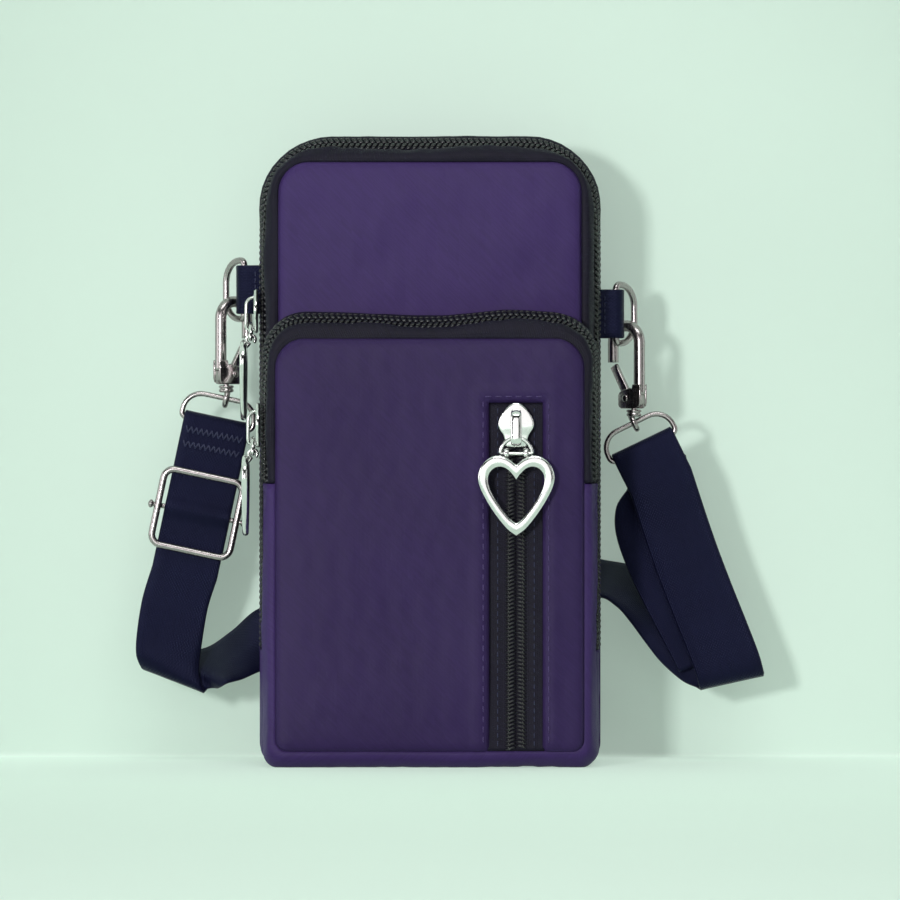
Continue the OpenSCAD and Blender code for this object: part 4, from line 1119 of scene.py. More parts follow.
def zip_slider():
    """The slider's upper plate with the bridge over it that the link goes through."""
    rim = smooth_line([(SLIDER_W / 2 * w, 0, SLIDER_LOW + SLIDER_H * s) for s, w in SLIDER_SHARES], 0.8)
    right = [(p[0], p[2]) for p in rim]
    outline = right + [(-x, z) for x, z in reversed(right)]
    plate = bevelled(outline, BRIDGE_GAP / 2, BRIDGE_GAP / 2 + SLIDER_T, 0.5)
    top, low = SLIDER_LOW + 0.86 * SLIDER_H, FOOT_TOP - BRIDGE_FOOT
    y_out = -BRIDGE_GAP / 2 - BRIDGE_T / 2
    side_view = [(1.2, low + 0.6), (0.2, low + 0.6), (y_out + 0.55, low + 0.75), (y_out, low + 1.6),
                 (y_out - 0.05, low + 4), (y_out, top - 3.2), (y_out + 0.5, top - 1.6), (0.1, top - 0.75),
                 (1.2, top - 0.55)]
    bridge = tube(smooth_line([(0, y, z) for y, z in side_view], 0.5), None, sides=16, squash_to=lambda t: (
        BRIDGE_W / 2 * (0.82 + 0.18 * math.sin(math.pi * t)), BRIDGE_T / 2))
    return joined([plate, bridge])


PULL_OUT = 2.4
PULL_PLACES = {"pocket": (POCKET_X, FRONT_Y + PANEL_T - 1 - 1.2 - PULL_OUT, 92.9),
               "front": (-FRONT_HALF - PULL_OUT, FRONT_ZIP_Y, 92.9),
               "main": (-HALF_W - PULL_OUT, MAIN_ZIP_Y, 127.2)}


def to_pull(points, which):
    """Moves a pull's own points to its zip. The long zips' pulls hang at the left side."""
    p = np.asarray(points, float)
    return (p if which == "pocket" else turned(p, -90)) + PULL_PLACES[which]


# ---------------------------------------------------------------- side hardware

TAB_INNER = DEE_WIRE / 2 + 0.3 + WEB_T / 2
BASE_H, BOW_R, NOSE_Z = HOOK_H * 0.21, HOOK_W / 2 - HOOK_BAR / 2, HOOK_H * 0.52
BOW_Z = HOOK_H - HOOK_W / 2
RIVET_X, RIVET_Z = HOOK_W * 0.06, BASE_H * 0.55
# Outlines of the hook's forked base and of the solid part between its cheeks, as shares of width and height
CHEEK_SHARES = ((0.36, 0), (0.47, 0.12), (0.5, 0.32), (0.5, 0.9), (0.49, 1.3), (0.27, 1.3), (0.25, 1.06),
                (0.2, 1.12), (-0.02, 1), (-0.1, 0.88), (-0.14, 0.72), (-0.14, 0.2), (-0.11, 0.08), (-0.05, 0))
SOLID_SHARES = ((0.23, 0.02), (0.44, 0.02), (0.48, 0.32), (0.48, 1.2), (0.27, 1.2), (0.23, 1.0))
# Radius and height of the rivet's domed head over the cheek, and of the swivel's waisted barrel
RIVET_HEAD = ((0.7, 0), (1.14, 0.02), (1.1, 0.2), (0.8, 0.36), (0.3, 0.43), (0.05, 0.44))
BARREL = ((1.8, -0.32), (2.2, -0.42), (2.3, -0.9), (1.95, -1.15), (1.95, -1.4), (2.25, -1.65), (2.2, -2.2),
          (1.7, -2.45))
EYE_R, EYE_WIRE = 2.1, 0.88


def placed(verts_faces, to_place, side):
    """A piece made for the right side, at its place on either side."""
    verts, faces = mirrored(verts_faces, side)
    return to_place(verts, side), faces


def tab_stations(side):
    """Webbing round the D-ring's bar, with both ends sewn in at the side."""
    turn = [(BAR_X + y, TAB_Y + x) for x, y in (polar(TAB_INNER, t) for t in range(0, 181, 22))]
    path = [(HALF_W - 1.2, TAB_Y + TAB_INNER + 0.1), (HALF_W + 1.2, TAB_Y + TAB_INNER)] + turn
    path += [(HALF_W + 1.2, TAB_Y - TAB_INNER), (HALF_W - 1.2, TAB_Y - TAB_INNER - 0.1)]
    return [(np.array((side * x, y, TAB_Z[side])), np.array((0, 0, 1.0)) * TAB_H / 2) for x, y in path]


def tab_stitches(side):
    """A sewn bar that holds the folded webbing together beside the ring."""
    bar = [(side * (HALF_W + 1.3), TAB_Y - TAB_INNER - 0.62, TAB_Z[side] + v)
           for v in np.arange(-TAB_H / 2 + 1, TAB_H / 2 - 0.9, 0.8)]
    return stitches(bar, (0, -1, 0), length=1.3, radius=0.15, pitch=2)


def dee_wire():
    """A D-ring of bent wire, with its straight bar in the tab."""
    loop = wire_outline(DEE_STUB + DEE_R, DEE_H, (1.5, DEE_R, DEE_R, 1.5))
    return tube(loop, DEE_WIRE / 2, sides=16, closed=True)


def snap_hook():
    """A leg that rises into a bow and comes down to the nose, on a forked base with the swivel's shaft."""
    line_pts = [(BOW_R, 0, z) for z in (BASE_H * 0.75, BASE_H * 1.3, HOOK_H * 0.45, HOOK_H * 0.6, BOW_Z)]
    line_pts += [(x, 0, BOW_Z + z) for x, z in (polar(BOW_R, t) for t in range(12, 181, 12))]
    line_pts += [(-BOW_R, 0, z) for z in (BOW_Z - 2, NOSE_Z + 0.9, NOSE_Z + 0.1)]
    bar = tube(smooth_line(line_pts, 0.7), None, sides=18,
               squash_to=lambda t: (HOOK_T / 2 * (1 - 0.10 * t), HOOK_BAR / 2))
    cheek_line, solid_line = ([(x * HOOK_W, z * BASE_H) for x, z in s] for s in (CHEEK_SHARES, SOLID_SHARES))
    cheek = (HOOK_T - GATE_T - 0.6) / 2
    cheeks = [bevelled(cheek_line, -HOOK_T / 2, -HOOK_T / 2 + cheek, 0.3),
              bevelled(cheek_line, HOOK_T / 2 - cheek, HOOK_T / 2, 0.3)]
    solid = bevelled(solid_line, -GATE_T / 2 - 0.35, GATE_T / 2 + 0.35, 0.1)
    shaft = tube([(SHAFT_U, 0, z) for z in (-1.25, -1.2, 0.4, BASE_H * 0.3)], 0.9, sides=14)
    return joined([bar, *cheeks, solid, shaft])


def gate_plate():
    """A channel of sheet metal that narrows from the rivet to its nose end."""
    r, top = 1.5, NOSE_Z - 0.3
    round_rivet = ((-0.95, 0.1), (-0.7, -0.7), (0, -1), (0.7, -0.7), (0.98, 0), (0.9, 0.6))
    outline = [(RIVET_X + r * u, RIVET_Z + r * v) for u, v in round_rivet]
    outline += [(-HOOK_W / 2 + HOOK_BAR * 0.95, top), (-HOOK_W / 2 + HOOK_BAR * 0.3, top - 0.38 * HOOK_BAR)]
    return bevelled(densified(outline, 1.5), -GATE_T / 2, GATE_T / 2, 0.45)


def rivet():
    """Plain, with domed heads on both cheeks."""
    profile = [(r, -HOOK_T / 2 - h) for r, h in reversed(RIVET_HEAD)]
    profile += [(r, HOOK_T / 2 + h) for r, h in RIVET_HEAD]
    return turned_solid(profile, 20, lambda u, v, y: (RIVET_X + u, y, RIVET_Z + v))


def swivel(side):
    """A waisted barrel over an eye that turns with the strap ring."""
    barrel = turned_solid(BARREL, 22, lambda u, v, z: (SHAFT_U + u, v, z))
    rise, run = polar(EYE_R, TILT[side])
    ring_top = TAB_Z[side] - HOOK_DROP - EYE_DROP
    eye = [(SWIVEL_X - math.cos(w) * run, SWIVEL_Y + EYE_R * math.sin(w), ring_top + math.cos(w) * rise)
           for w in (TURN * k / 24 for k in range(24))]
    return joined([placed(barrel, to_hook, side),
                   placed(tube(eye, EYE_WIRE, sides=12, closed=True), to_side, side)])


def strap_ring():
    """The flat oval ring that carries the webbing."""
    width = RING_LEN - RING_WIRE
    loop = wire_outline(width, RING_H, (1.5, 1.5, RING_H * 0.7, RING_H * 0.7)) - (width / 2, 0, 0)
    return tube(loop, RING_WIRE / 2, sides=14, closed=True)


# ---------------------------------------------------------------- operators


class PouchBody(bpy.types.Operator):
    """Main compartment: back, main panel, gusset and zip tapes"""

    bl_idname = "pouch.main_body"
    bl_label = "Main compartment"

    def execute(self, context):
        s = settings()
        crown = s.crown / MM
        nylon, tape = finish_of("satin_nylon"), finish_of("zip_tape")
        # The outline under the coils
        hw, top, r, foot_r = HALF_W - COIL_H, BODY_H - COIL_H, TOP_R - COIL_H, FOOT_R - COIL_H
        outline = (hw, 0.4, top, r, foot_r)
        verts, faces, uvs, back = panel(*outline, BACK_Y + 0.2, 1, crown * 0.8, seed=40, rolled=1.0)
        obj = put_mesh("cloth_back", verts, faces, nylon, "nylon", "pouch", uvs)
        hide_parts("back_panel")
        rim = ring(hw + 0.15, 0.75, top + 0.1, r, foot_r)
        verts, faces = tube([(x, BACK_Y - 0.9, z) for x, z in rim], 0.85, sides=10, closed=True)
        put_mesh("cloth_back_binding", verts, faces, nylon, "nylon", "pouch")
        sewn = outline_stitches(back, *outline, inset=2.6, outward=1, radius=0.17, sink=0.0)
        put_mesh("stitches_back", *sewn, finish_of("purple_thread"), "nylon", "pouch")

        # The padded main panel, seen above the front compartment
        seam_y = PANEL_Y - PANEL_T
        panel_top, corner = BODY_H - PANEL_DROP, TOP_R - PANEL_INSET - 7
        verts, faces, uvs, _ = panel(PANEL_HALF, SEAM_Z, panel_top, corner, PANEL_FOOT_R,
                                     seam_y, -1, crown * 0.9, seed=10, rolled=1.2)
        obj = put_mesh("cloth_main_panel", verts, faces, nylon, "nylon", "pouch", uvs)
        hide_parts("main_panel")
        # Gusset below the zip's ends, tapes above them
        y0 = PANEL_Y - 0.7
        verts, faces, uvs = band([
            (foot(PANEL_HALF - 0.3, SEAM_Z + 0.3, MAIN_END, PANEL_FOOT_R), y0),
            (foot(PANEL_HALF + 2.6, SEAM_Z - 2.6, MAIN_END, PANEL_FOOT_R + 1), y0 + 0.9),
            (foot(hw, 0.02, MAIN_END, foot_r), PANEL_Y + 5.2),
            (foot(hw + 0.5, 0.0, MAIN_END, foot_r), PANEL_Y + 12),
            (foot(hw, 0.02, MAIN_END, foot_r), BACK_Y - 1.2)],
            across=20, creases=1.5, seed=60, fold=(0.56, 0.05, 0.55))
        verts[:, 2] = np.maximum(verts[:, 2], 0.0)
        obj = put_mesh("cloth_main_gusset", verts, faces, nylon, "nylon", "pouch", uvs)
        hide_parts("main_gusset")
        verts, faces, uvs = band([
            (arch(PANEL_HALF - 0.4, MAIN_END, panel_top - 0.4, corner), y0),
            (arch(PANEL_HALF + 2.2, MAIN_END, panel_top + 2.6, corner + 4), y0 - 0.1),
            (arch(hw - 0.3, MAIN_END, top - 1.0, r), PANEL_Y + 4.2),
            (arch(hw, MAIN_END, top, r), MAIN_ZIP_Y - 2.8),
            (arch(hw, MAIN_END, top, r), MAIN_ZIP_Y - ZIP_GAP)],
            across=18, creases=2.2, seed=70, zip_of="main")
        obj = put_mesh("tape_main_front", verts, faces, tape, "tape", "pouch", uvs)
        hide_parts("main_tape_front")
        verts, faces, uvs = band([
            (arch(hw, MAIN_END, top, r), MAIN_ZIP_Y + ZIP_GAP),
            (arch(hw, MAIN_END, top, r), MAIN_ZIP_Y + 3.2),
            (arch(hw + 0.3, MAIN_END, top + 0.3, r), BACK_Y - 4.5),
            (arch(hw, MAIN_END, top, r), BACK_Y - 1.2)],
            across=14, creases=0.7, seed=80, zip_of="main")
        obj = put_mesh("tape_main_rear", verts, faces, tape, "tape", "pouch", uvs)
        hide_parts("main_tape_rear")
        return {"FINISHED"}


class PouchFront(bpy.types.Operator):
    """Front compartment: its panel, gusset and zip tapes"""

    bl_idname = "pouch.front_compartment"
    bl_label = "Front compartment"

    def execute(self, context):
        s = settings()
        nylon, tape = finish_of("satin_nylon"), finish_of("zip_tape")
        hole = (POCKET_X0 + 0.2, POCKET_X1 - 0.2, POCKET_LOW, POCKET_TOP)
        top = FRONT_H - PANEL_DROP
        verts, faces, uvs, grid = panel(FLAP_HALF, SEAM_Z, top, FRONT_TOP_R - FRONT_INSET, PANEL_FOOT_R,
                                        FRONT_Y, -1, s.crown / MM * 0.8, hole=hole, seed=20, rolled=1.5)
        start, end = FOLD_SPAN
        # The front panel takes the darker copy of the nylon, which is painted shade
        obj = put_mesh("cloth_front_panel", verts, faces, finish_of("front_nylon"), "nylon", uvs=uvs)
        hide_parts("front_panel_lower", "front_panel_upper")
        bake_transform(obj)
        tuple(start)
        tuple(end)

        # Stitches beside the pocket and over it
        x0, x1 = POCKET_X0 - 1.6, POCKET_X1 + 1.6
        rows = [[(x, z) for z in np.arange(POCKET_LOW + 2, POCKET_TOP + 2, 1.0)] for x in (x0, x1)]
        rows.append([(x, POCKET_TOP + 1.8) for x in np.arange(x0, x1 + 0.1, 0.8)])
        verts, faces = joined([stitches(on_surface(grid, row), (0, -1, 0), radius=0.2, length=1.8, sink=0.02)
                               for row in rows])
        obj = put_mesh("stitches_front_panel", verts, faces, finish_of("purple_thread"), "nylon")
        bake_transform(obj)
        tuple(start)
        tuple(end)

        # The outline under the coils
        hw, zip_top, r, foot_r = FRONT_HALF - COIL_H, FRONT_H - COIL_H, FRONT_TOP_R - COIL_H, FOOT_R - COIL_H
        corner = FRONT_TOP_R - FRONT_INSET
        y_in, y_back = FRONT_Y + 1.3, PANEL_Y - PANEL_T
        verts, faces, uvs = band([
            (foot(FLAP_HALF - 0.3, SEAM_Z + 0.3, FOLD_Z, PANEL_FOOT_R), y_in),
            (foot(FLAP_HALF + 1.9, SEAM_Z - 2.2, FOLD_Z, PANEL_FOOT_R + 1), y_in + 0.6),
            (foot(hw, 0.05, FOLD_Z, foot_r), FRONT_Y + PANEL_T + 3.6),
            (foot(hw + 0.4, 0.0, FOLD_Z, foot_r), FRONT_ZIP_Y),
            (foot(hw - 0.2, 0.1, FOLD_Z, foot_r), y_back - 5.6),
            (foot(FLAP_HALF + 1.6, SEAM_Z - 2, FOLD_Z, PANEL_FOOT_R + 1), y_back - 1.2),
            (foot(FLAP_HALF, SEAM_Z, FOLD_Z, PANEL_FOOT_R), y_back - 0.1)],
            across=26, creases=1.8, seed=90, fold=(0.47, 0.045, 0.8))
        verts[:, 2] = np.maximum(verts[:, 2], 0.0)
        obj = put_mesh("cloth_front_gusset", verts, faces, nylon, "nylon", "pouch", uvs)
        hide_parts("front_gusset")
        verts, faces, uvs = band([
            (arch(FLAP_HALF - 0.4, FOLD_Z + 0.3, top - 0.4, corner), y_in),
            (arch(FLAP_HALF + 1.6, FOLD_Z + 0.3, top + 3.4, FRONT_TOP_R - 2.5), y_in + 0.3),
            (arch(hw - 0.3, FOLD_Z + 0.3, zip_top - 0.9, r), FRONT_Y + PANEL_T + 3.2),
            (arch(hw, FOLD_Z + 0.3, zip_top, r), FRONT_ZIP_Y - 2.8),
            (arch(hw, FOLD_Z + 0.3, zip_top, r), FRONT_ZIP_Y - ZIP_GAP)],
            across=18, creases=2.0, seed=100, zip_of="front")
        obj = put_mesh("tape_front_front", verts, faces, tape, "tape", "front_flap", uvs)
        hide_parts("front_tape_front")
        verts, faces, uvs = band([
            (arch(hw, FOLD_Z, zip_top, r), FRONT_ZIP_Y + ZIP_GAP),
            (arch(hw, FOLD_Z, zip_top, r), FRONT_ZIP_Y + 2.8),
            (arch(hw - 0.4, FOLD_Z, zip_top - 0.6, r), y_back - 5.4),
            (arch(FLAP_HALF + 1, FOLD_Z, top + 1.8, FRONT_TOP_R - 3), y_back - 1.2),
            (arch(FLAP_HALF, FOLD_Z, top, corner), y_back - 0.1)],
            across=18, creases=0.9, seed=110, zip_of="front")
        obj = put_mesh("tape_front_rear", verts, faces, tape, "tape", "pouch", uvs)
        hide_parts("front_tape_rear")
        return {"FINISHED"}


class PouchZips(bpy.types.Operator):
    """Coils of the two long zips, loop by loop, with the thread that sews them down"""

    bl_idname = "pouch.long_zips"
    bl_label = "Long zips"

    def execute(self, context):
        coil, thread = finish_of("moulded_coil"), finish_of("zip_thread")
        main = (HALF_W, MAIN_END, BODY_H, TOP_R, MAIN_ZIP_Y, "main")
        flap = (FRONT_HALF, FOLD_Z + 0.3, FRONT_H, FRONT_TOP_R, FRONT_ZIP_Y, "front")
        front = (FRONT_HALF, FOLD_Z, FRONT_H, FRONT_TOP_R, FRONT_ZIP_Y, "front")
        rows = (("main_front", main, -1, "pouch", "main_coil_front"),
                ("main_rear", main, 1, "pouch", "main_coil_rear"),
                ("front_front", flap, -1, "front_flap", "front_coil_front"),
                ("front_rear", front, 1, "pouch", "front_coil_rear"))
        for name, (hw, z0, z1, r, y, zip_of), towards, body, node in rows:
            # The rear row lies half a loop further along, so that the two interlock
            head = y + towards * ZIP_GAP
            shift = 0.5 if towards > 0 else 0.0
            loops, sewn = coil_row(hw, z0, z1, r, head, head + towards * COIL_W, shift, zip_of)
            obj = put_mesh("coil_" + name, *loops, coil, "coils", body)
            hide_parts(node)
            put_mesh("thread_" + name, *sewn, thread, "coils", body)
        return {"FINISHED"}


POCKET_PITCH, POCKET_SEWN_X = 1.15, 5.4


def pocket_coils(y_tape):
    """The pocket's slanted loops on both sides, closed below the slider, and the thread that sews them down."""
    loops, thread = [], []
    rise = -0.55
    for side in (-1, 1):
        a, b, mid = (POCKET_X + side * off for off in (0.62, 2.85, 2.1))
        for k in range(int((POCKET_TOP - 2.6 - POCKET_LOW - 1) / POCKET_PITCH)):
            z = POCKET_LOW + 1 + (k + (0.5 if side > 0 else 0)) * POCKET_PITCH
            loop = [(a - side * 0.3, y_tape - 0.35, z + 0.25), (a, y_tape - 0.75, z + 0.15),
                    (a + side * 0.7, y_tape - 0.98, z), (b - side * 0.9, y_tape - 0.92, z + rise * 0.55),
                    (b - side * 0.15, y_tape - 0.6, z + rise * 0.9), (b, y_tape - 0.15, z + rise)]
            loops.append(tube(smooth_line(loop, 0.35), None, sides=7,
                              squash_to=lambda t: (0.36 - 0.08 * abs(2 * t - 1), 0.33 - 0.06 * t)))
            dot = [(mid - 0.25, y_tape - 1.2, z + 0.35), (mid, y_tape - 1.34, z - 0.1),
                   (mid + 0.25, y_tape - 1.2, z - 0.6)]
            thread.append(tube(dot, 0.13, sides=5))
    return joined(loops), joined(thread)


class PouchPocket(bpy.types.Operator):
    """Pocket zip in the front panel: tape, slanted coils, stop and the lining bag behind it"""

    bl_idname = "pouch.pocket"
    bl_label = "Pocket zip"

    def execute(self, context):
        y_tape = FRONT_Y + PANEL_T - 1
        start, end = FOLD_SPAN
        # Tape in two halves that meet in the middle under the coils
        rows = np.arange(POCKET_LOW, POCKET_TOP + 0.01, (POCKET_TOP - POCKET_LOW) / 90)
        cols = np.linspace(POCKET_X0 - 0.3, POCKET_X1 + 0.3, 31)
        z, x = np.meshgrid(rows, cols, indexing="ij")
        off = np.abs(x - POCKET_X)
        y = y_tape + 0.35 * bell(off, 0, 0.35) - 0.12 * bell(off, POCKET_SEWN_X, 0.8)
        y = y + 0.06 * ripple(x, z, 11, 33)
        verts, faces, uvs = shell(np.stack([x, y, z], axis=2), 0.7, flip=True)
        obj = put_mesh("tape_pocket", verts, faces, finish_of("zip_tape"), "tape", uvs=uvs)
        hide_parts("pocket_tape_lower", "pocket_tape_upper")
        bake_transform(obj)
        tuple(start)
        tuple(end)

        loops, thread = pocket_coils(y_tape)
        obj = put_mesh("coil_pocket", *loops, finish_of("moulded_coil"), "coils")
        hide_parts("pocket_teeth_lower", "pocket_teeth_upper")
        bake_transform(obj)
        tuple(start)
        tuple(end)
        obj = put_mesh("thread_pocket", *thread, finish_of("zip_thread"), "coils")
        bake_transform(obj)
        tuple(start)
        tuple(end)
        # Sewing lines down the tape, either side of the coils
        rows = [[(POCKET_X + dx, y_tape - 0.1, v) for v in np.arange(POCKET_LOW + 1, POCKET_TOP - 1, 1.0)]
                for dx in (-POCKET_SEWN_X, POCKET_SEWN_X)]
        sewn = joined([stitches(row, (0, -1, 0), radius=0.13, length=1.5, pitch=2.4, sink=0.0) for row in rows])
        obj = put_mesh("stitches_pocket_tape", *sewn, finish_of("dark_thread"), "tape")
        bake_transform(obj)
        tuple(start)
        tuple(end)

        low, high = POCKET_TOP - 2.1, POCKET_TOP - 0.3
        base = smooth_line([(POCKET_X - 2.3, 0, low), (POCKET_X + 2.3, 0, low)], 1)
        dome = [(2.4, (low + high) / 2), (2.0, high), (0, high + 0.15), (-2.0, high), (-2.4, (low + high) / 2)]
        pts = [(p[0], p[2]) for p in base] + [(POCKET_X + dx, z) for dx, z in dome]
        verts, faces = bevelled(pts, y_tape - 1.3, y_tape - 0.05, 0.35)
        obj = put_mesh("stop_pocket", verts, faces, finish_of("moulded_coil"), "coils", "front_flap")
        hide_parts("pocket_stop")

        # Lining bag, a soft tray behind the panel
        (x0, x1), (z0, z1) = span("pocket_bag", 0), span("pocket_bag", 2)
        deep = span("pocket_bag", 1)[1]
        front = FRONT_Y + PANEL_T
        xs, zs = np.linspace(x0, x1, 60), np.linspace(z0, z1, 60)
        z, x = np.meshgrid(zs, xs, indexing="ij")
        edge = np.minimum(np.minimum(x - x0, x1 - x), np.minimum(z - z0, z1 - z))
        y = front + (deep - front) * smoothstep(edge, 0.0, 1.7) ** 0.7
        y = y + 0.25 * ripple(x, z, 17, 91) * smoothstep(edge, 1, 6)
        y = np.minimum(y, deep + 0.25)
        verts, faces, uvs = shell(np.stack([x, y, z], axis=2), 0.5)
        obj = put_mesh("lining_pocket", verts, faces, finish_of("pocket_lining"), "tape", "pouch", uvs)
        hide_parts("pocket_bag")
        return {"FINISHED"}


class PouchPulls(bpy.types.Operator):
    """The three sliders with their links and heart pulls"""

    bl_idname = "pouch.pulls"
    bl_label = "Sliders and hearts"

    def execute(self, context):
        nickel = finish_of("polished_nickel")
        for which in PULL_PLACES:
            for part, (verts, faces) in (("slider", zip_slider()), ("link", link_ring()),
                                         ("heart", heart_plate())):
                node = f"{which}_{part}"
                obj = put_mesh("nickel_" + node, to_pull(verts, which), faces, nickel, "nickel", node)
                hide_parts(node)
        return {"FINISHED"}


class PouchSides(bpy.types.Operator):
    """Side hardware: webbing tabs, D-rings, snap hooks with their gates, rivets and swivels, and strap rings"""

    bl_idname = "pouch.side_hardware"
    bl_label = "Tabs, rings and hooks"

    def execute(self, context):
        nickel, web = finish_of("dark_nickel"), finish_of("ribbed_webbing")
        for side, name in ((LEFT, "left"), (RIGHT, "right")):
            verts, faces, uvs, _ = ribbon(tab_stations(side), step=0.7, width=TAB_H, seed=5)
            obj = put_mesh(f"webbing_{name}_tab", verts, faces, web, "webbing", "pouch", uvs)
            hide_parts(f"{name}_tab")
            put_mesh(f"stitches_{name}_tab", *tab_stitches(side), finish_of("dark_thread"), "webbing", "pouch")
            for piece, body, (verts, faces) in (
                    ("dee", f"{name}_dee", placed(dee_wire(), to_dee, side)),
                    ("hook", f"{name}_hook", placed(snap_hook(), to_hook, side)),
                    ("gate", f"{name}_gate", placed(gate_plate(), to_hook, side)),
                    ("rivet", f"{name}_hook", placed(rivet(), to_hook, side)),
                    ("swivel", "pouch", swivel(side)),
                    ("ring", "pouch", placed(strap_ring(), to_ring, side))):
                obj = put_mesh(f"nickel_{name}_{piece}", verts, faces, nickel, "nickel", body)
                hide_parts(f"{name}_{piece}")
        return {"FINISHED"}


class PouchStrap(bpy.types.Operator):
    """Strap: both worn ends over their rings and the spare length folded behind the pouch"""

    bl_idname = "pouch.strap"
    bl_label = "Strap"

    def execute(self, context):
        web, thread = finish_of("ribbed_webbing"), finish_of("dark_thread")
        left = loop_stations(LEFT, -ADJ_DROP - ADJ_H / 2, -ADJ_DROP - ADJ_H * 0.8) + LEFT_LAID
        right = RIGHT_END + loop_stations(RIGHT, -9, -12) + RIGHT_LAID
        for name, stations, seed in (("left", left, 3), ("right", right, 4)):
            verts, faces, uvs, data = ribbon(stations, seed=seed)
            obj = put_mesh(f"webbing_strap_{name}", verts, faces, web, "webbing", "pouch", uvs)
            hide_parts(f"strap_{name}")
            if name == "left":
                # Two sewn bars below the top of the turn
                top = stations[TURN_TOP][0]
                start = data[3][np.argmin(np.linalg.norm(data[0] - top, axis=1))]
                rows = across_stitches(data, [start + 6, start + 10.5])
                put_mesh("stitches_strap_left", *rows, thread, "webbing", "pouch")
        step = (BUNDLE_Y1 - BUNDLE_Y0) / (BUNDLE_RUNS + 1)
        pts = []
        for k in range(BUNDLE_RUNS + 1):
            s, y = (1 if k % 2 == 0 else -1), BUNDLE_Y0 + k * step
            if k:
                pts += [(-s * BUNDLE_X * f, y) for f in (0.7, 0.35, 0, -0.35, -0.7)]
            pts += [(s * (BUNDLE_X + step / 2 * math.cos(math.radians(a))),
                     y + step / 2 + step / 2 * math.sin(math.radians(a))) for a in range(-90, 91, 30)]
        stations = [(np.array((x, y, WEB_W / 2 + 0.05)), np.array((0, 0, WEB_W / 2))) for x, y in pts]
        verts, faces, uvs, _ = ribbon(stations, step=1.5, seed=6)
        verts = np.asarray(verts)
        verts[:, 2] = np.maximum(verts[:, 2], 0.0)
        obj = put_mesh("webbing_strap_bundle", verts, faces, web, "webbing", "pouch", uvs)
        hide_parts("strap_bundle")
        return {"FINISHED"}


class PouchAdjuster(bpy.types.Operator):
    """Adjuster on the left end of the strap: a wire frame with its bar and ball ends"""

    bl_idname = "pouch.adjuster"
    bl_label = "Adjuster"

    def execute(self, context):
        nickel = finish_of("dark_nickel")
        origin = np.array((0, -WRAP_R - WEB_T / 2 - 0.3 - ADJ_WIRE / 2, -ADJ_DROP))

        def place(verts_faces):
            verts, faces = verts_faces
            return to_ring(np.asarray(verts, float) + origin, LEFT), [f[::-1] for f in faces]

        def ball_size(share):
            return (float(np.interp(share * 8, range(9), BALL_SIZES)),) * 2

        loop = wire_outline(ADJ_W, ADJ_H, (3.2,) * 4) - (ADJ_W / 2, 0, ADJ_H / 2)
        parts = [tube(loop, ADJ_WIRE / 2, sides=16, closed=True)]
        for s in (-1, 1):
            ball = [(s * ADJ_W / 2 + s * (0.3 + 0.33 * k), 0, 0) for k in range(9)]
            parts.append(tube(ball, None, sides=16, squash_to=ball_size))
        obj = put_mesh("nickel_adjuster_frame", *place(joined(parts)), nickel, "nickel", "adjuster")
        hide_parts("adjuster_frame")
        back = WEB_T + 0.6 + ADJ_WIRE / 2 + ADJ_BAR / 2
        w = ADJ_W / 2
        half = [(w, 0), (w, back * 0.6), (w - 0.5, back * 0.93), (w - 1.2, back)]
        bar = [(-x, y, 0) for x, y in half] + [(0, back, 0)] + [(x, y, 0) for x, y in reversed(half)]
        wire = tube(smooth_line(bar, 0.6), ADJ_BAR / 2, sides=14)
        obj = put_mesh("nickel_adjuster_bar", *place(wire), nickel, "nickel", "adjuster")
        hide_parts("adjuster_bar")
        return {"FINISHED"}


# The lamps' light on the paper: in the middle, its growth to the right and up or back, and their products
WALL_LIGHT = (0.917, -0.700, -0.109, 6.514, 3.303, 1.384)
FLOOR_LIGHT = (0.629, -0.206, -0.661, 1.768, -0.386, 0.072)
# The share of its own colour that the paper shows, and how far from the pouch the lamps' light is followed
OWN_LIGHT = 0.25
NEAR_X, NEAR_UP, NEAR_BACK = (-0.15, 0.15), (-0.05, 0.24), (-0.7, 0.05)
WALL_Y, WALL_HALF, WALL_H, FLOOR_FRONT, COVE_R = 43.0, 900.0, 1200.0, -1400.0, 2.0
# What the camera and the lamps look at, in metres
AIM, MIDDLE = (0.006, 0, 0.094), (0, 0, 0.095)
# Each lamp's name, place, share of the key light's power, and size
LAMPS = (("key_light", (-0.52, -1.7, 0.27), 1, (0.14, 0.14)),
         ("front_light", (0.0, -1.55, 0.32), 0.25, (1.1, 0.8)),
         ("left_light", (-1.9, -0.9, 0.45), 0.46, (0.5, 1.2)),
         ("top_light", (0.05, -0.95, 1.25), 0.42, (0.9, 0.25)))
SCREEN_R, CARD_R = 2600, 2500
CARD_ANGLES = ((-104, -72), (-56, -42), (36, 46), (72, 104))


def level(first, second, values):
    """How brightly the lamps light the paper near the pouch, against how bright it should look."""
    total = first * values[1] + values[0] + second * values[2]
    for a, b, k in ((first, first, 3), (second, second, 4), (first, second, 5)):
        total = total + a * b * values[k]
    return total


def held(value, limits):
    """A value kept between two limits."""
    return value.reckon("MAXIMUM", limits[0]).reckon("MINIMUM", limits[1])


def looked_at(tree):
    """One for rays from the camera, from a mirroring surface or through clear material; none for others."""
    path = tree.nodes.new("ShaderNodeLightPath").outputs
    mirrored_or_clear = Value(path["Is Glossy Ray"]).reckon("MAXIMUM", Value(path["Is Transmission Ray"]))
    return Value(path["Is Camera Ray"]).reckon("MAXIMUM", mirrored_or_clear)


def mixed_shader(tree, fac, first, second):
    node = tree.nodes.new("ShaderNodeMixShader")
    for socket, source in zip(node.inputs, (fac, first, second)):
        source.to(socket)
    return Value(node.outputs[0])


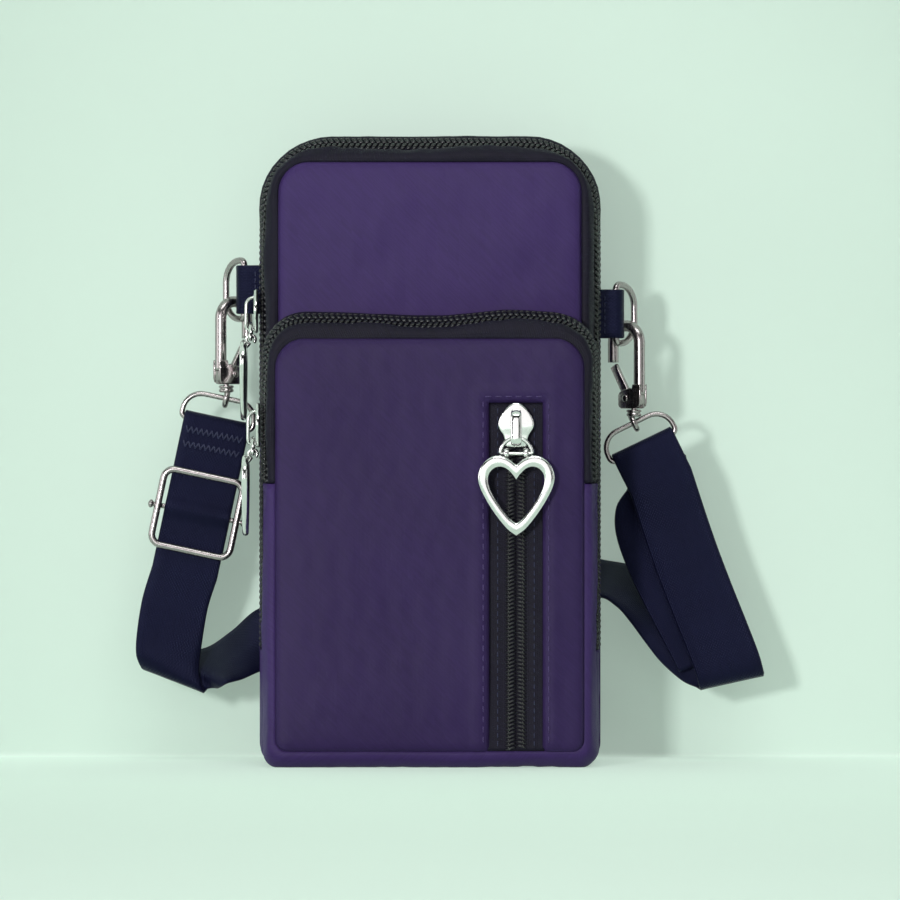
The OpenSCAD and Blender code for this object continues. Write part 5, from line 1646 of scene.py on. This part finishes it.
def paper(backdrop):
    """Paper under the lamps. Where they reach it less, it shows more of its own colour; its back is clear."""
    made, tree, shader, coords = blank("paper_backdrop", {"Roughness": 0.9, "Specular IOR Level": 0.1})
    paint(shader, noise(tree, coords["Object"], 6, 3), scaled(backdrop, 0.985), scaled(backdrop, 1.01))
    geometry = tree.nodes.new("ShaderNodeNewGeometry").outputs
    _, facing_back, facing_up = parts_of(tree, geometry["Normal"])
    x, y, z = parts_of(tree, coords["Object"])
    wall = facing_back * facing_back * level(held(x, NEAR_X), held(z, NEAR_UP), WALL_LIGHT)
    flat = facing_up * facing_up * level(held(x, NEAR_X), held(y, NEAR_BACK), FLOOR_LIGHT)
    glow = tree.nodes.new("ShaderNodeEmission")
    glow.inputs["Color"].default_value = (*backdrop, 1)
    lit = (wall + flat) * ((1 - OWN_LIGHT) / OWN_LIGHT)
    (lit * -1 + 1 / OWN_LIGHT).to(glow.inputs["Strength"])
    front = mixed_shader(tree, looked_at(tree) * OWN_LIGHT, Value(shader.outputs[0]), Value(glow.outputs[0]))
    clear = Value(tree.nodes.new("ShaderNodeBsdfTransparent").outputs[0])
    sides = mixed_shader(tree, Value(geometry["Backfacing"]), front, clear)
    sides.to(tree.nodes["Material Output"].inputs["Surface"])
    return made


def strips(line_pts):
    """Faces between pairs of points along a line."""
    return [(2 * i, 2 * i + 1, 2 * i + 3, 2 * i + 2) for i in range(len(line_pts) - 1)]


def upright(radius, angles, low, high):
    """Pairs of points round the pouch, from the front to either side."""
    return [(y, -x, z) for x, y in (polar(radius, a) for a in angles) for z in (low, high)]


def unseen(obj):
    """Only mirroring surfaces see this."""
    obj.visible_camera = obj.visible_diffuse = obj.visible_shadow = False
    obj.visible_transmission = obj.visible_volume_scatter = False


class PouchStageSet(bpy.types.Operator):
    """Backdrop and floor, lights and camera"""

    bl_idname = "pouch.stage"
    bl_label = "Stage"

    def execute(self, context):
        stage = context.scene.pouch_stage
        backdrop = tuple(stage.backdrop)
        # Floor that curves up into a wall close behind; from behind, the wall lets the camera see through
        cove = [(WALL_Y - COVE_R + y, COVE_R - x) for x, y in (polar(COVE_R, a) for a in range(10, 91, 10))]
        profile = [(FLOOR_FRONT, 0.0), (-300.0, 0.0), (0.0, 0.0), (WALL_Y - COVE_R, 0.0)] + cove
        profile += [(WALL_Y, 200.0), (WALL_Y, WALL_H)]
        verts = [(x, y, z - 0.02) for y, z in profile for x in (-WALL_HALF, WALL_HALF)]
        floor = put_mesh("backdrop", verts, strips(profile), paper(backdrop), None)

        world = bpy.data.worlds.new("room")
        context.scene.world = world
        world.use_nodes = True
        tree = world.node_tree
        room, seen = tree.nodes["Background"], tree.nodes.new("ShaderNodeBackground")
        set_inputs(room, {"Color": (1, 1, 1, 1), "Strength": stage.fill})
        set_inputs(seen, {"Color": (*backdrop, 1)})
        mixed = mixed_shader(tree, looked_at(tree), Value(room.outputs[0]), Value(seen.outputs[0]))
        mixed.to(tree.nodes["World Output"].inputs["Surface"])

        for name, place, share, (width, height) in LAMPS:
            light = bpy.data.lights.new(name, "AREA")
            light.energy, light.shape, light.size, light.size_y = stage.key * share, "RECTANGLE", width, height
            obj = bpy.data.objects.new(name, light)
            context.scene.collection.objects.link(obj)
            obj.location = place
            obj.rotation_euler = (Vector(MIDDLE) - Vector(place)).to_track_quat("-Z", "Y").to_euler()
            obj.visible_camera = False

        # A dark screen round the camera's side gives the nickel something to mirror beside the lamps
        around = range(-104, 105, 8)
        made, tree, shader, coords = blank("dark_screen", {"Roughness": 0.95})
        paint(shader, noise(tree, coords["Object"], 4, 3), (0.012, 0.012, 0.013), (0.03, 0.028, 0.028))
        screen = put_mesh("dark_screen", upright(SCREEN_R, around, -30, 2300), strips(around), made, None)
        unseen(screen)

        # Pale cards in front of it, which only the mirroring metal sees, draw the bright lines along the wires
        made, *_ = blank("pale_card", {
            "Base Color": (0.5, 0.5, 0.5, 1), "Emission Color": (0.96, 1.0, 0.97, 1), "Emission Strength": 1.2})
        for k, ends in enumerate(CARD_ANGLES):
            card = put_mesh(f"pale_card_{k + 1}", upright(CARD_R, ends, -20, 1500), strips(ends), made, None)
            unseen(card)

        camera = bpy.data.cameras.new("camera")
        camera.lens, camera.sensor_width = stage.lens, 36
        obj = bpy.data.objects.new("camera", camera)
        context.scene.collection.objects.link(obj)
        obj.location = Vector(AIM) + Vector((0, -stage.distance, 0.0))
        obj.rotation_euler = (Vector(AIM) - obj.location).to_track_quat("-Z", "Y").to_euler()
        context.scene.camera = obj
        context.scene.view_settings.view_transform = "Standard"
        return {"FINISHED"}


class PouchPanel(bpy.types.Panel):
    """Settings and pieces of the pouch"""

    bl_idname = "VIEW3D_PT_pouch"
    bl_label = "Phone pouch"
    bl_space_type = "VIEW_3D"
    bl_region_type = "UI"
    bl_category = "Pouch"

    def draw(self, context):
        for group_name in ("pouch_cloth", "pouch_metal", "pouch_stage"):
            box = self.layout.box()
            values = getattr(context.scene, group_name)
            for key in values.__annotations__:
                box.prop(values, key)
        for operator in OPERATORS:
            self.layout.operator(operator.bl_idname)


OPERATORS = (PouchBody, PouchFront, PouchZips, PouchPocket, PouchPulls, PouchSides, PouchStrap, PouchAdjuster,
             PouchStageSet)
SETTINGS = {"pouch_cloth": PouchCloth, "pouch_metal": PouchMetal, "pouch_stage": PouchStage}


def register():
    for cls in (*SETTINGS.values(), *OPERATORS, PouchPanel):
        bpy.utils.register_class(cls)
    for name, cls in SETTINGS.items():
        setattr(bpy.types.Scene, name, PointerProperty(type=cls))


def unregister():
    for name in SETTINGS:
        delattr(bpy.types.Scene, name)
    for cls in (PouchPanel, *reversed(OPERATORS), *reversed(SETTINGS.values())):
        bpy.utils.unregister_class(cls)


def main():
    random.seed(7)
    register()
    bpy.ops.pouch.main_body()
    bpy.ops.pouch.front_compartment()
    bpy.ops.pouch.long_zips()
    bpy.ops.pouch.pocket()
    bpy.ops.pouch.pulls()
    bpy.ops.pouch.side_hardware()
    bpy.ops.pouch.strap()
    bpy.ops.pouch.adjuster()
    bpy.ops.pouch.stage()
    bpy.context.view_layer.update()


if __name__ == "__main__":
    main()
